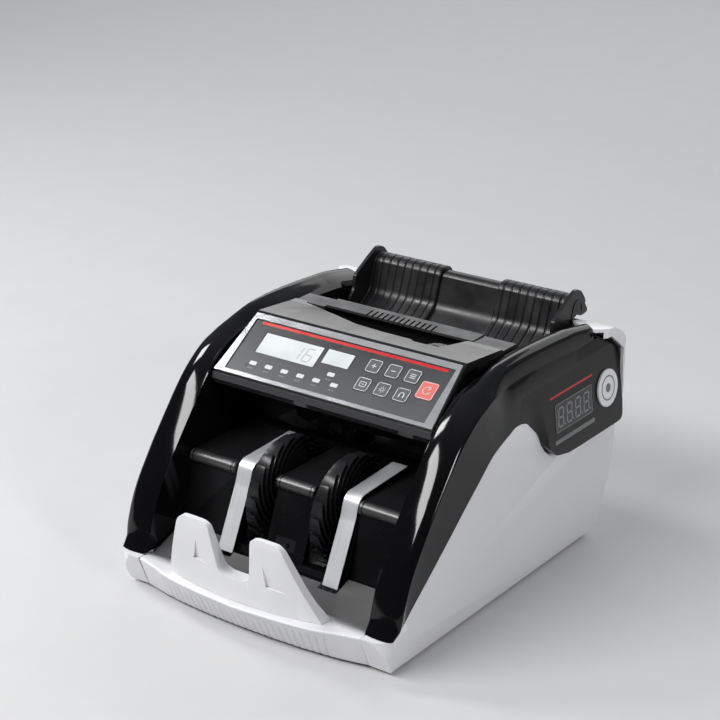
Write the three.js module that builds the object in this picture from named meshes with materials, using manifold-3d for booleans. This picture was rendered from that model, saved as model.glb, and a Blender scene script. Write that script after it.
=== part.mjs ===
// Banknote counting machine: a desktop counter with a rear hopper, a front stacker and a sloping
// control panel. Millimetres, +Z up, front towards -Y. Outlines are drawn in the case frame, whose
// z = 0 is the bottom of the case; the whole machine is then moved so that its origin is the
// centre of its bounding box on the table.
import * as THREE from 'three';
import { mergeVertices } from 'three/addons/utils/BufferGeometryUtils.js';
import Module from 'manifold-3d';

const wasm = await Module();
wasm.setup();

// ---- driving dimensions -------------------------------------------------------------------
const SIDE = 124.5;            // outer half width of the case sides
const CHEEK = 102.5;           // half width of the note pocket between the two cheeks
const WALL = 2.5;              // moulded wall thickness
const GAP = 0.3;               // clearance between pieces that touch
const FEET = 3;                // the case stands this high on its feet
const CENTRE_Y = 5;            // middle of the case's depth in the case frame
const WHEEL = { y: -60, z: 68, r: 47, hub: 13, x: 29.5, width: 20, vanes: 12 };
const PANEL = { y: -35.65, z: 167.9, tilt: 34.4, half: 28.65 };
const FEED = { y: 44, z: 100, r: 18 };
const PICKUP = { y: 92, z: 114.2, r: 17, x: 30, width: 16 };
const MAIN_MOTOR = { y: 112, z: 40, r: 25 };
const STACK_MOTOR = { y: 0, z: 30, r: 14 };
const FRAME_X = 107;           // inner face of the steel side frames
const POD_TILT = 6.5;          // lean of the display pod's face, in degrees

// ---- materials ----------------------------------------------------------------------------
const finish = (color, roughness, metalness = 0) =>
  new THREE.MeshStandardMaterial({ color, roughness, metalness });
const WHITE = () => finish(0xe9e9ee, 0.38);
const GLOSS = () => finish(0x0b0b0c, 0.08);
const BLACK = () => finish(0x151517, 0.45);
const STEEL = () => finish(0xb8bcc0, 0.25, 1);
const RUBBER = () => finish(0x26262a, 0.9);

// ---- shape helpers ------------------------------------------------------------------------
function solid(geometry) {
  const bare = geometry.clone();
  bare.deleteAttribute('normal');
  bare.deleteAttribute('uv');
  const merged = mergeVertices(bare, 1e-4);
  return new wasm.Manifold(new wasm.Mesh({
    numProp: 3,
    vertProperties: merged.attributes.position.array,
    triVerts: new Uint32Array(merged.index.array),
  }));
}

function geometryOf(body) {
  const mesh = body.getMesh();
  const geometry = new THREE.BufferGeometry();
  geometry.setAttribute('position', new THREE.BufferAttribute(mesh.vertProperties, 3));
  geometry.setIndex(new THREE.BufferAttribute(mesh.triVerts, 1));
  geometry.computeVertexNormals();
  return geometry;
}

const join = (...bodies) => bodies.reduce((a, b) => a.add(b));
const cut = (body, ...tools) => tools.reduce((a, b) => a.subtract(b), body);
const moved = (body, x, y, z) => body.translate([x, y, z]);
const mirrored = (body) => body.mirror([1, 0, 0]);

function extruded(shape, depth, matrix) {
  const options = { depth, bevelEnabled: false, curveSegments: 8 };
  return solid(new THREE.ExtrudeGeometry(shape, options).applyMatrix4(matrix));
}
const outline = (points) => new THREE.Shape(points.map(([a, b]) => new THREE.Vector2(a, b)));

// Prisms: points are (y, z), (x, z) or (x, y) pairs.
const prismX = (points, x0, x1) => extruded(outline(points), x1 - x0,
  new THREE.Matrix4().set(0, 0, 1, x0, 1, 0, 0, 0, 0, 1, 0, 0, 0, 0, 0, 1));
const prismY = (points, y0, y1) => extruded(outline(points), y1 - y0,
  new THREE.Matrix4().set(1, 0, 0, 0, 0, 0, -1, y1, 0, 1, 0, 0, 0, 0, 0, 1));
const prismZ = (points, z0, z1) => extruded(outline(points), z1 - z0,
  new THREE.Matrix4().makeTranslation(0, 0, z0));

function box(x0, x1, y0, y1, z0, z1) {
  const geometry = new THREE.BoxGeometry(x1 - x0, y1 - y0, z1 - z0);
  return solid(geometry.translate((x0 + x1) / 2, (y0 + y1) / 2, (z0 + z1) / 2));
}

function rodX(r, x0, x1, y, z, sides = 20) {
  const geometry = new THREE.CylinderGeometry(r, r, x1 - x0, sides);
  return solid(geometry.rotateZ(Math.PI / 2).translate((x0 + x1) / 2, y, z));
}
function rodZ(r, z0, z1, x, y, sides = 24) {
  const geometry = new THREE.CylinderGeometry(r, r, z1 - z0, sides);
  return solid(geometry.rotateX(Math.PI / 2).translate(x, y, (z0 + z1) / 2));
}
function rodY(r, y0, y1, x, z, sides = 24) {
  const geometry = new THREE.CylinderGeometry(r, r, y1 - y0, sides);
  return solid(geometry.translate(x, (y0 + y1) / 2, z));
}

function roundedRect(x0, x1, y0, y1, r, steps = 2) {
  const points = [];
  const corners = [[x1 - r, y1 - r, 0], [x0 + r, y1 - r, 1], [x0 + r, y0 + r, 2], [x1 - r, y0 + r, 3]];
  for (const [cx, cy, quarter] of corners) {
    for (let i = 0; i <= steps; i++) {
      const a = (quarter + i / steps) * Math.PI / 2;
      points.push([cx + r * Math.cos(a), cy + r * Math.sin(a)]);
    }
  }
  return points;
}

// A solid through a row of cross sections, each a closed ring of the same number of points.
function loft(rings) {
  const count = rings[0].length;
  const faces = [];
  for (let i = 0; i < rings.length - 1; i++) {
    for (let j = 0; j < count; j++) {
      const a = i * count + j;
      const b = i * count + (j + 1) % count;
      faces.push(a, b, a + count, b, b + count, a + count);
    }
  }
  faces.push(...capFaces(rings[0], 0, false));
  faces.push(...capFaces(rings[rings.length - 1], (rings.length - 1) * count, true));
  const vertProperties = new Float32Array(rings.flat(2));
  const build = (list) => new wasm.Manifold(new wasm.Mesh({
    numProp: 3, vertProperties, triVerts: new Uint32Array(list),
  }));
  const made = build(faces);
  return made.volume() > 0 ? made : build(faces.reverse());
}

// The triangles that close one end of a loft, in the ring's own order or against it.
function capFaces(ring, start, inOrder) {
  const spans = [0, 1, 2].map((k) => {
    const values = ring.map((p) => p[k]);
    return Math.max(...values) - Math.min(...values);
  });
  const dropped = spans.indexOf(Math.min(...spans));
  const [u, v] = [0, 1, 2].filter((k) => k !== dropped);
  const flat = ring.map((p) => new THREE.Vector2(p[u], p[v]));
  const ringSign = Math.sign(THREE.ShapeUtils.area(flat));
  return THREE.ShapeUtils.triangulateShape(flat, []).flatMap(([a, b, c]) => {
    const sign = Math.sign(THREE.ShapeUtils.area([flat[a], flat[b], flat[c]]));
    const tri = (sign === ringSign) === inOrder ? [a, b, c] : [a, c, b];
    return tri.map((k) => k + start);
  });
}

const machine = new THREE.Group();
machine.position.set(0, -CENTRE_Y, FEET);

function part(name, body, material, parent = machine) {
  const mesh = new THREE.Mesh(geometryOf(body), material);
  mesh.name = name;
  parent.add(mesh);
  return mesh;
}

// ---- case ---------------------------------------------------------------------------------
// Line between the white case side and the black fender, from the front foot to the pod (y, z).
const SHOULDER = [
  [-138, 26.5], [-127, 33.5], [-114.5, 43.5], [-93, 60], [-71, 77.5], [-49, 95.3], [-34, 107],
  [-17.6, 120], [-6, 126], [6, 130.6], [16, 133.8], [30, 131.5], [45, 118], [53, 105], [64, 95],
  [82, 91.5], [100, 91.3], [140, 91],
];
const BACK = [[163, 90.7], [166.5, 92.7], [166.5, 56], [164, 50], [151, 23.5], [137, 0]];

function lowerCase() {
  const side = [[-138, 0], [-149.3, 26.2], ...SHOULDER.map(([y, z]) => [y, z - GAP]), ...BACK];
  const inside = [[-131.8, WALL + 0.5], [-131.8, 200], [163.5, 200], [163.5, 56.5], [161, 51],
    [148.5, 25], [135.5, WALL + 0.5]];
  let body = prismX(side, -SIDE, SIDE);
  body = cut(body, prismX(inside, -SIDE + 3, SIDE - 3));
  body = cut(body, box(-103.4, 103.4, -200, LIP_BACK + GAP, -1, 60));
  body = cut(body, box(-103.4, 103.4, LIP_BACK, -125, 22.5, 60));
  body = cut(body, box(-SIDE + 3, SIDE - 3, -139, -125, 26.2, 200));
  // The front corners are rounded in plan, and the sides draw in a little at the bottom.
  const corner = [[-126, -120], [-126, -160], [-100, -160], [-103, -149.5], [-116, -147.2],
    [-122, -143.5], [-SIDE, -137]];
  body = cut(body, prismZ(corner, -1, 27), mirrored(prismZ(corner, -1, 27)));
  const draft = [[SIDE + 1, -1], [SIDE + 1, 24], [SIDE - 3, -1]];
  body = cut(body, prismY(draft, -160, 180), mirrored(prismY(draft, -160, 180)));
  // Openings in the back wall for the mains inlet and the switch.
  body = cut(body, box(-84, -56, 150, 170, 62, 82), box(-46, -32, 150, 170, 62, 82));
  // Sockets for the feet.
  for (const [x, y] of FOOT_PLACES) body = cut(body, rodZ(4, -1, WALL + 1, x, y, 16));
  return body;
}
const LIP_BACK = -134.8;
const FOOT_PLACES = [[-100, -112], [100, -112], [-100, 112], [100, 112]];

// Front lip: a bowed shelf with a leaning, ribbed front.
const LIP_TOP = [[103, -147.5], [85, -151.5], [70, -157.5], [50, -160.5], [28, -162.7], [0, -165]];
const LIP_BOTTOM = [[103, -138], [85, -142], [70, -144.5], [50, -146.5], [28, -147.8], [0, -148.3]];
const bothSides = (half) => [...half, ...half.slice(0, -1).reverse().map(([x, y]) => [-x, y])];

function frontLip() {
  const top = bothSides(LIP_TOP);
  const bottom = bothSides(LIP_BOTTOM);
  const backEdge = [[-103, LIP_BACK], [103, LIP_BACK]];
  const ring = (edge, z) => [...edge, ...backEdge].map(([x, y]) => [x, y, z]);
  let body = loft([ring(bottom, 0), ring(top, 24), ring(top.map(([x, y]) => [x, y + 2]), 26)]);
  // The floor pan behind the shelf and the ribs between |x| = 78 are cut into the front.
  const pitch = 8;
  for (let i = -9; i <= 9; i++) {
    const groove = box(-0.6, 0.6, -175, -140, -1, 21).rotate([0, 9, 0]);
    body = cut(body, moved(cut(groove, grooveKeeper(i * pitch)), i * pitch + 1.6, 0, 0));
  }
  return cut(body, box(-78, 78, -175, -144.4, -1, 1.2));
}

// What a rib groove leaves standing, so that it is only 1 mm deep in the bowed, leaning front.
function grooveKeeper(x) {
  const at = (edge) => {
    const ordered = bothSides(edge).slice().reverse();
    const next = ordered.findIndex(([px]) => px >= x);
    const [x1, y1] = ordered[Math.max(next, 1)];
    const [x0, y0] = ordered[Math.max(next, 1) - 1];
    return y0 + (y1 - y0) * (x - x0) / (x1 - x0);
  };
  const depth = 1;
  const low = at(LIP_BOTTOM) + depth;
  const high = at(LIP_TOP) + depth;
  return prismX([[low - 0.6, -2], [-100, -2], [-100, 30], [high + 0.5, 30], [high, 24]], -6, 6);
}

const REAR = [[138, 174.2], [149, 172.6], [158, 168.5], [166.5, 161.9], [172, 155], [175, 147.6],
  [174.6, 130], [172.8, 114.5], [169.5, 101], [167, 93.4]];
const POD_BACK = [[167.3, 93], [167.6, 106], [166, 131], [165.4, 151], [158, 157], [144.8, 166.6]];

function rearCover() {
  let body = prismX([...REAR, [120, 93.4], [120, 174.6]], -129.5, 129.5);
  const inside = [[100, 171.5], [138, 171.5], [148, 170], [157, 166], [165, 159.5], [170, 152.5],
    [172.4, 147], [172, 130.5], [170.3, 115], [167, 102], [164.4, 93], [164.4, 80], [100, 80]];
  body = cut(body, prismX(inside, -127, 127));
  const corner = [[131, 100], [131, 200], [60, 200], [60, 175.2], [118, 174.9], [124, 174.2],
    [127, 172.6], [128.7, 170], [129.5, 166.5], [129.5, 100]];
  body = cut(body, prismZ(corner, 50, 200), mirrored(prismZ(corner, 50, 200)));
  // Room for the fenders and pods at the sides, and for the hopper between them.
  const lowFlank = prismX([[90, 85], [POD_BACK[0][0], 85], ...POD_BACK, [90, 166.6]], 96, 140);
  const plan = [...REAR_SEAM.map(([x, y]) => [x, y + GAP]), [142, 90], [88, 90]];
  const highFlank = prismZ(plan, 160, 200);
  body = cut(body, lowFlank, mirrored(lowFlank), highFlank, mirrored(highFlank));
  body = cut(body, box(-98, 98, 90, 148.6, 160, 190));
  // Cooling slots across the back.
  for (let row = 0; row < 6; row++) {
    const z = 108 + row * 6;
    for (const x of [-36, 36]) {
      body = cut(body, prismY(roundedRect(x - 30, x + 30, z, z + 3, 1.4, 1), 150, 180));
    }
  }
  return body;
}

// ---- fender-shaped arch covers --------------------------------------------------------------
const CREST = [
  [-149.3, 27.1], [-137.7, 56.2], [-125.8, 81.5], [-110.5, 105.4], [-94, 127.1], [-76.5, 148.2],
  [-63.5, 160.8], [-49.5, 170.6], [-37, 176], [-24.4, 179.4], [2.3, 183.3], [22, 185], [42, 185.4],
  [57, 185.1], [72, 184.5], [86.3, 183.7], [105, 182.2], [140, 176],
];
// Across the fender: x, and how far the surface lies below the crest.
const FRONT_CROWN = [
  [CHEEK, 10.7], [105, 9.9], [108.5, 9.1], [112.5, 8.6], [116.5, 8.6], [120.5, 9.2], [124, 10.4],
  [126.6, 12], [128.1, 13.8],
];
const REAR_CROWN = [
  [CHEEK, 11.3], [104.6, 7.6], [107.6, 4], [111, 1.4], [114.5, 0.2], [118, 0.5], [121.2, 3.2],
  [123.4, 8.8], [SIDE, 17],
];

// The crown turns from the front one into the rear one between these two places.
const BLEND = { from: -48, to: 8 };
function crownAt(y) {
  const t = Math.min(1, Math.max(0, (y - BLEND.from) / (BLEND.to - BLEND.from)));
  const share = t * t * (3 - 2 * t);
  return FRONT_CROWN.map(([x, drop], i) => [
    x + (REAR_CROWN[i][0] - x) * share, drop + (REAR_CROWN[i][1] - drop) * share,
  ]);
}

// One section of the fender. A hollow ring is the same shape drawn in by the wall thickness, and
// reaches past the base so that it leaves the fender open below.
function fenderRing(crest, base, hollow) {
  const depth = Math.hypot(base[0] - crest[0], base[1] - crest[1]);
  const along = [(base[0] - crest[0]) / depth, (base[1] - crest[1]) / depth];
  const squeeze = Math.min(1, 0.68 * depth / FRONT_CROWN.at(-1)[1]);
  const widening = 4.7 * Math.min(1, Math.max(0, crest[0] / 25));
  const innerReach = Math.min(depth, crest[0] > -30 ? 30 : depth);
  const extra = hollow ? 8 : 0;
  const place = (x, drop) => [x, crest[0] + along[0] * drop, crest[1] + along[1] * drop];
  const across = (x) => {
    const wide = x < 110 ? x - widening * (110 - x) / 7.5 : x;
    return hollow ? 113 + (wide - 113) * (1 - WALL / 11.5) : wide;
  };
  const wall = hollow ? WALL : 0;
  const crown = crownAt(crest[0]).map(([x, drop]) => place(across(x), drop * squeeze + wall));
  return [place(across(CHEEK), innerReach + extra), ...crown, place(across(SIDE), depth + extra)];
}

const POD = [
  [53, 105], [64, 95], [82, 91.5], [100, 91.3], [140, 91], [163, 91], [166.6, 93], [167.2, 106],
  [165.4, 131], [164.8, 150.6], [158, 156], [144.5, 165.8], [117.8, 166.5], [79, 167.7],
  [43, 168.3], [23.4, 165.7], [21, 134], [30, 131.5], [45, 118],
];
// Plan outline of what the rear cover takes from the top of the fender (x, y).
const REAR_SEAM = [[88, 143], [97, 139], [113.6, 131], [122, 131.4], [128.7, 137.5], [142, 152]];
const behindSeam = (gap) => prismZ([...REAR_SEAM.map(([x, y]) => [x, y + gap]), [142, 230], [88, 230]],
  166.8, 200);

function archCover(withWindow) {
  let body = loft(CREST.map((c, i) => fenderRing(c, SHOULDER[i], false)));
  const between = (a, b, t) => [a[0] + (b[0] - a[0]) * t, a[1] + (b[1] - a[1]) * t];
  const drawnIn = (line, last) => [between(line[0], line[1], 0.14), ...line.slice(1, -1), last];
  const hollowCrest = drawnIn(CREST, [137.5, 176.4]);
  const hollowBase = drawnIn(SHOULDER, [137.5, 91]);
  const hollow = loft(hollowCrest.map((c, i) => fenderRing(c, hollowBase[i], true)));
  // Display pod: it stands out from the fender, and its face leans in towards the top.
  const faceX = (z, back = 0) => 128 - back - (z - 123) * Math.tan(POD_TILT * Math.PI / 180);
  const beyondFace = (back) => prismY([[faceX(80, back), 80], [faceX(157, back), 157],
    [121 - back, 169], [118, 190], [150, 190], [150, 80]], 0, 200);
  const ramp = prismZ([[SIDE, 10], [150, 10], [150, 60], [faceX(110), 60], [SIDE, 42]], 80, 200);
  const pod = cut(prismX(POD, SIDE - 2.4, 140), beyondFace(0), ramp);
  const podRoom = cut(prismX(POD_ROOM, 110, 140), beyondFace(WALL));
  // Inner cheek wall, down to the stacker floor.
  const cheek = [[-148.6, 26.6], ...CREST.slice(1, 8).map(([y, z]) => [y + 8, z - 8]),
    [-4, 165], [-4, 30], [-90, 30], [-106, 26.6]];
  body = join(cut(join(body, pod), hollow, podRoom), prismX(cheek, CHEEK, CHEEK + WALL));
  body = cut(body, rodX(6, 90, 108, WHEEL.y, WHEEL.z, 16), behindSeam(0));
  return withWindow ? cut(body, windowHole()) : body;
}
const POD_ROOM = [[66, 85], [66, 97], [74, 94.5], [162, 94.5], [162, 149], [143, 162.5], [62, 162],
  [58, 120]];

// The display window and the round badge lie in the leaning face of the pod.
const SIDE_WINDOW = { y: 93, z: 123, length: 56, height: 24 };
const onPod = (body, y, z) => moved(body.rotate([0, -POD_TILT, 0]),
  128 - (z - 123) * Math.tan(POD_TILT * Math.PI / 180), y, z);

function windowPane(margin, x0, x1) {
  const { y, z, length, height } = SIDE_WINDOW;
  const a = length / 2 - margin;
  const b = height / 2 - margin;
  return onPod(prismX(roundedRect(-a, a, -b, b, 2), x0, x1), y, z);
}
const windowHole = () => windowPane(0, -4, 6);

// ---- hopper -------------------------------------------------------------------------------
// A line offset to its left by some distance, with mitred corners.
function offsetLine(line, distance) {
  return line.map((p, i) => {
    const normals = [];
    for (const [a, b] of [[line[i - 1], p], [p, line[i + 1]]]) {
      if (!a || !b) continue;
      const length = Math.hypot(b[0] - a[0], b[1] - a[1]);
      normals.push([-(b[1] - a[1]) / length, (b[0] - a[0]) / length]);
    }
    const sum = normals.reduce(([x, y], [u, v]) => [x + u / normals.length, y + v / normals.length],
      [0, 0]);
    const scale = distance / (sum[0] ** 2 + sum[1] ** 2);
    return [p[0] + sum[0] * scale, p[1] + sum[1] * scale];
  });
}
const strip = (line, low, high) => [...offsetLine(line, low), ...offsetLine(line, high).reverse()];

// Upper surface of the hopper from its mouth over the fold, up the back and over the rolled edge.
const HOPPER_LINE = [[62, 113.3], [134, 160], [142.5, 184.5], [145.2, 187.4], [150, 188.2],
  [155, 186.5], [157.6, 182.5], [158, 178]];
const FIN = [[113.5, 179.8], [119.2, 183.6], [132.1, 190.8], [139.3, 194.7], [144.3, 196.9],
  [148.7, 196.7], [153.8, 194.4], [157.5, 190.2], [160.6, 186.1], [161.5, 184.1], [160.4, 182.6],
  [163.6, 178.4], [164.9, 175], [161.7, 173.6], [154, 173.4], [150, 176.5], [139.3, 172.5],
  [134, 161.2], [98, 137.2], [106.4, 163.1], [109.3, 166.3], [112, 169]];

function hopperTray() {
  let body = prismX(strip(HOPPER_LINE, -3, 0), -96.5, 96.5);
  for (const x of [-PICKUP.x, PICKUP.x]) body = cut(body, box(x - 9.5, x + 9.5, 68, 99, 100, 150));
  return body;
}

function noteGuide() {
  const saddle = [[104, 140.54], ...HOPPER_LINE.slice(1, -1)];
  let body = prismX(strip(saddle, 0.4, 2.4), 27.5, 94);
  for (let i = 0; i < 8; i++) {
    body = join(body, prismX(strip(saddle, 2, 3), 33 + i * 7.4, 34.2 + i * 7.4));
  }
  const clearance = strip([[40, 99.03], ...HOPPER_LINE.slice(1, -1), [158, 170]], -3.4, 0.4);
  const underHook = [[136, 165], [142, 178], [144, 186], [157, 184], [158.4, 178], [158.4, 165]];
  return cut(join(body, prismX(FIN, 93, 96)), prismX(clearance, 20, 100), prismX(underHook, 90, 100));
}

function throatPlate() {
  const section = [[41, 178.6], [41.6, 180.4], [57, 181], [57.5, 178], [53, 177.6], [52.5, 122],
    [50, 122], [50, 177.4]];
  let body = prismX(section, -68.4, 68.4);
  for (let i = -6; i <= 6; i++) {
    const slot = prismZ(roundedRect(-0.9, 0.9, -5.5, 5.5, 0.85, 1), 174, 184);
    body = cut(body, moved(slot.rotate([0, 0, 8]), i * 5, 46.5, 0));
  }
  return body;
}

const throatEnd = () => join(
  box(68.9, 97, 38.6, 57, 176, 179.8), box(70, 96.4, 50, 53, 122, 176.2),
);

// ---- control hood and panel -----------------------------------------------------------------
// A point of the panel plane: v up the slope from the panel's middle, n out of it.
function onPanel(v, n) {
  const a = PANEL.tilt * Math.PI / 180;
  return [PANEL.y + v * Math.cos(a) - n * Math.sin(a), PANEL.z + v * Math.sin(a) + n * Math.cos(a)];
}
const HOOD_TOP = 181.6;
const RECESS = [[-83, 34.6], [-43.5, 22.3], [-21, 14.7], [6, 12], [33, 11.6], [37.3, 8.5], [58, 8.9],
  [61.8, 19.5], [65.3, 36], [68, 41], [68, 60], [-84, 60], [-84, 36]];
const KNOB = { x: 49.5, y: 21, r: 10 };

function controlHood() {
  const outer = [[44, HOOD_TOP - 1], [30, HOOD_TOP], [-8.8, 184.8], [-10, 184], onPanel(29.2, -2.5),
    onPanel(-29.2, -2.5), [-60.4, 149], [-61, 144.4], [-56.4, 138.8], [-52.6, 138.8]];
  const inner = [[-52.6, 141.5], onPanel(-24, -5.5), onPanel(24, -5.5), [-7, 178], [5, 178], [5, 165],
    [44, 165]];
  let body = prismX([...outer, ...inner], -101.6, 101.6);
  // The flanks fall away from the panel towards the fenders.
  const flank = prismY([[94.5, 210], [96.4, 181], [100.3, 152], [101.4, 140], [130, 140], [130, 210]],
    -70, 60);
  const rear = box(97.2, 130, -3, 60, 100, 200);
  body = cut(body, flank, mirrored(flank), rear, mirrored(rear));
  body = cut(body, prismZ(RECESS, 168, 200), rodZ(KNOB.r + 2, 168, 200, KNOB.x, KNOB.y, 24));
  body = cut(body, box(-68.8, 68.8, 38.4, 60, 160, 200), rodZ(4.6, 160, 170, KNOB.x, KNOB.y, 16));
  const ends = box(68, 98, 38.2, 60, 160, 200);
  body = cut(body, ends, mirrored(ends));
  const window = box(-87, 87, -22, 22, -20, 0);
  return cut(body, placedOnPanel(window));
}
const placedOnPanel = (body) => moved(body.rotate([PANEL.tilt, 0, 0]), 0, PANEL.y, PANEL.z);

const MEMBRANE = { half: 91.6, low: -25.2, high: 23.2 };
const DISPLAYS = [
  { name: 'lcd_main', x0: -76, x1: -20.5, v0: -5.3, v1: 14 },
  { name: 'lcd_small', x0: -17, x1: 8, v0: 0.7, v1: 14.2 },
];
const KEY_SIZE = 11.8;
const KEYS = [
  { name: 'key_plus', x: 27.4, v: 9.3 }, { name: 'key_minus', x: 44.9, v: 9.3 },
  { name: 'key_batch', x: 62.1, v: 9.4 }, { name: 'key_add', x: 27.4, v: -7.8 },
  { name: 'key_uv', x: 44.8, v: -7.8 }, { name: 'key_mg', x: 62.1, v: -7.9 },
  { name: 'key_reset', x: 79.2, v: 0.9, width: 14.4, height: 15.2 },
];

function keyOutline({ x, v, width = KEY_SIZE, height = KEY_SIZE }, margin) {
  const a = width / 2 + margin;
  const b = height / 2 + margin;
  return roundedRect(x - a, x + a, v - b, v + b, 1.6);
}

function bezel() {
  const { half, low, high } = MEMBRANE;
  const rim = prismZ([[-100.1, -28.65], [100.1, -28.65], [94.9, 28.65], [-94.9, 28.65]], -2.1, 0);
  return cut(rim, box(-half - GAP, half + GAP, low - GAP, high + GAP, -5, 5));
}

function membrane() {
  const { half, low, high } = MEMBRANE;
  let body = box(-half, half, low, high, -2.1, -0.8);
  for (const d of DISPLAYS) body = cut(body, box(d.x0, d.x1, d.v0, d.v1, -5, 5));
  for (const key of KEYS) body = cut(body, prismZ(keyOutline(key, 0.3), -5, 5));
  return body;
}

const display = (d) => box(d.x0 + GAP, d.x1 - GAP, d.v0 + GAP, d.v1 - GAP, -7.6, -1);
const keyCap = (key) => join(
  prismZ(keyOutline(key, 0), -2.1, -0.5),
  box(key.x - 2, key.x + 2, key.v - 2, key.v + 2, -7, -2),
);

// ---- stacker ------------------------------------------------------------------------------
const PLATE_LINE = [[-105, 33.5], [-85.2, 86.5]];
const SIDE_LINE = [[-99.5, 36], [-85.2, 86.5]];
const STRIP_LINE = [[-111.5, 33], [-89.2, 79.5], [-87, 86.5], [-84.6, 92], [-80, 95.4], [-24, 98.3]];

// The line's right-hand side faces the operator, so a positive thickness lies behind it.
const behind = (line, near, far) => strip(line, -far, -near);

function backPlate() {
  let body = join(prismX(behind(PLATE_LINE, 0, 2.5), -57.5, 57.5),
    prismX(behind(SIDE_LINE, 0, 2.5), -102.1, 102.1));
  body = join(body, prismX([[-84, 90.4], [-7, 90.4], [-7, 92.6], [-84, 92.6]], -102.1, 102.1));
  const wall = cut(box(-102.1, 102.1, -8.5, -5, 90.4, 160), box(-96, 96, -10, 0, 96, 122));
  body = join(body, wall, rodX(5, -102.1, 102.1, -84, 88.6, 20));
  for (const side of [-1, 1]) {
    const x = side * WHEEL.x;
    body = cut(body, box(x - 12, x + 12, -112, -10.5, 38, 120));
    const [x0, x1] = side > 0 ? [41.5, 57.5] : [-57.5, -41.5];
    body = cut(body, box(x0 - 1, x1, -92, -79, 82.5, 96));
  }
  body = cut(body, box(-11, 8, -115, -80, 43, 52.5));
  return join(body, box(-102.1, 102.1, -100, -96.5, 30, 37), box(-57.5, 57.5, -104.6, -98.4, 30, 36));
}

function frontStopper() {
  const half = [[70.5, 26.3], [48.6, 80], [46, 83.6], [42, 85.4], [25, 85.2], [20.6, 83], [18.2, 77],
    [14.4, 49.5], [11.4, 46]];
  const face = [...half, ...half.slice().reverse().map(([x, z]) => [-x, z])];
  const rings = [];
  for (let x = -72; x <= 72; x += 12) {
    const bow = 10 * (x / 72) ** 2;
    const section = [[-158.5 + bow, 26.3], [-165, 83.6], [-164, 85.8], [-160.2, 85.8],
      [-149, 46], [-139, 26.3]];
    rings.push(section.map(([y, z]) => [x, y, z]));
  }
  let body = loft(rings).intersect(prismY(face, -180, -120));
  const dent = [[28.5, 68, -161.4], [28.5, 47.5, -158.4], [52, 45, -159.6]];
  const tool = loft([dent.map(([x, z]) => [x, -180, z]), dent.map(([x, z, y]) => [x, y, z])]);
  return cut(body, tool, mirrored(tool));
}

function floorPlate() {
  const rise = [[-134.2, 25.4], [-111, 34], [-101, 37.7]];
  const body = prismX(strip(rise, -1.5, 0), -100.5, 100.5);
  const middle = box(-57, 57, -111, -90, 20, 60);
  const foot = box(41, 58, -116, -100, 20, 60);
  return cut(body, middle, foot, mirrored(foot));
}

const guideStrip = () => prismX(behind(STRIP_LINE, -0.4, 0.4), 42.3, 55.9);

function sensorWindow() {
  const pane = prismX(behind(PLATE_LINE, 0.3, 2.2), -10.7, 7.7);
  const band = box(-20, 20, -120, -80, 43.3, 52.2);
  return pane.intersect(band).add(rodY(1.8, -101.6, -98, 0, 47.6, 16));
}

// An impeller wheel: a hub with curved vanes that trail the rotation.
function impellerWheel() {
  const { r, hub, vanes, width } = WHEEL;
  const steps = 5;
  const sweep = 1.15;
  const thick = 2;
  let body = rodX(hub, -width / 2, width / 2, 0, 0, 24);
  for (let k = 0; k < vanes; k++) {
    const start = k * 2 * Math.PI / vanes;
    const middle = [];
    for (let i = 0; i <= steps; i++) {
      const t = i / steps;
      const radius = hub - 2 + (r - thick / 2 - hub + 2) * t;
      const angle = start - sweep * t ** 1.4;
      middle.push([radius * Math.cos(angle), radius * Math.sin(angle)]);
    }
    body = join(body, prismX(strip(middle, -thick / 2, thick / 2), -width / 2, width / 2));
  }
  return cut(body, rodX(4.3, -20, 20, 0, 0, 16));
}

// ---- drives -------------------------------------------------------------------------------
function pulley(r, bore, x0, x1, y, z) {
  const flange = 1.2;
  const body = join(rodX(r, x0, x1, y, z), rodX(r + flange, x0, x0 + 0.8, y, z),
    rodX(r + flange, x1 - 0.8, x1, y, z));
  return bore ? cut(body, rodX(bore, x0 - 1, x1 + 1, y, z, 16)) : body;
}

// A belt round two pulleys given as [y, z, radius].
function belt(first, second, x0, x1) {
  const loop = (extra) => {
    const [y1, z1, r1] = first;
    const [y2, z2, r2] = second;
    const toward = Math.atan2(z2 - z1, y2 - y1);
    const open = Math.acos((r1 - r2) / Math.hypot(y2 - y1, z2 - z1));
    const arc = (y, z, r, from, to) => Array.from({ length: 11 }, (_, i) => {
      const a = from + (to - from) * i / 10;
      return [y + (r + extra) * Math.cos(a), z + (r + extra) * Math.sin(a)];
    });
    return [...arc(y1, z1, r1, toward + open, toward - open + 2 * Math.PI),
      ...arc(y2, z2, r2, toward - open, toward + open)];
  };
  return cut(prismX(loop(1.9), x0, x1), prismX(loop(0.5), x0 - 1, x1 + 1));
}

const shaft = (x0, x1, at) => rodX(4, x0, x1, at.y, at.z, 20);
const sleeve = (r, x0, x1, at) =>
  cut(rodX(r, x0, x1, at.y, at.z, 28), rodX(4.3, x0 - 1, x1 + 1, at.y, at.z, 16));

function motor({ y, z, r }, x0, x1) {
  const can = join(rodX(r, x0 + 3, x1 - 3, y, z, 32), rodX(r * 0.82, x0, x1, y, z, 24));
  return join(can, box(x0 + 6, x1 - 6, y - r * 0.7, y + r * 0.7, 3.3, z));
}

function sideFrame() {
  const plate = [[-80, 3.3], [124, 3.3], [124, 150], [20, 150], [-36, 130], [-80, 95]];
  let body = prismX(plate, FRAME_X, FRAME_X + 2);
  for (const at of [WHEEL, FEED, PICKUP]) body = cut(body, rodX(4.4, 100, 112, at.y, at.z, 16));
  const relief = [[-20, 20], [80, 20], [80, 80], [0, 80], [-20, 50]];
  return cut(body, prismX(relief, 100, 112), box(100, 112, 95, 115, 30, 90));
}

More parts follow.
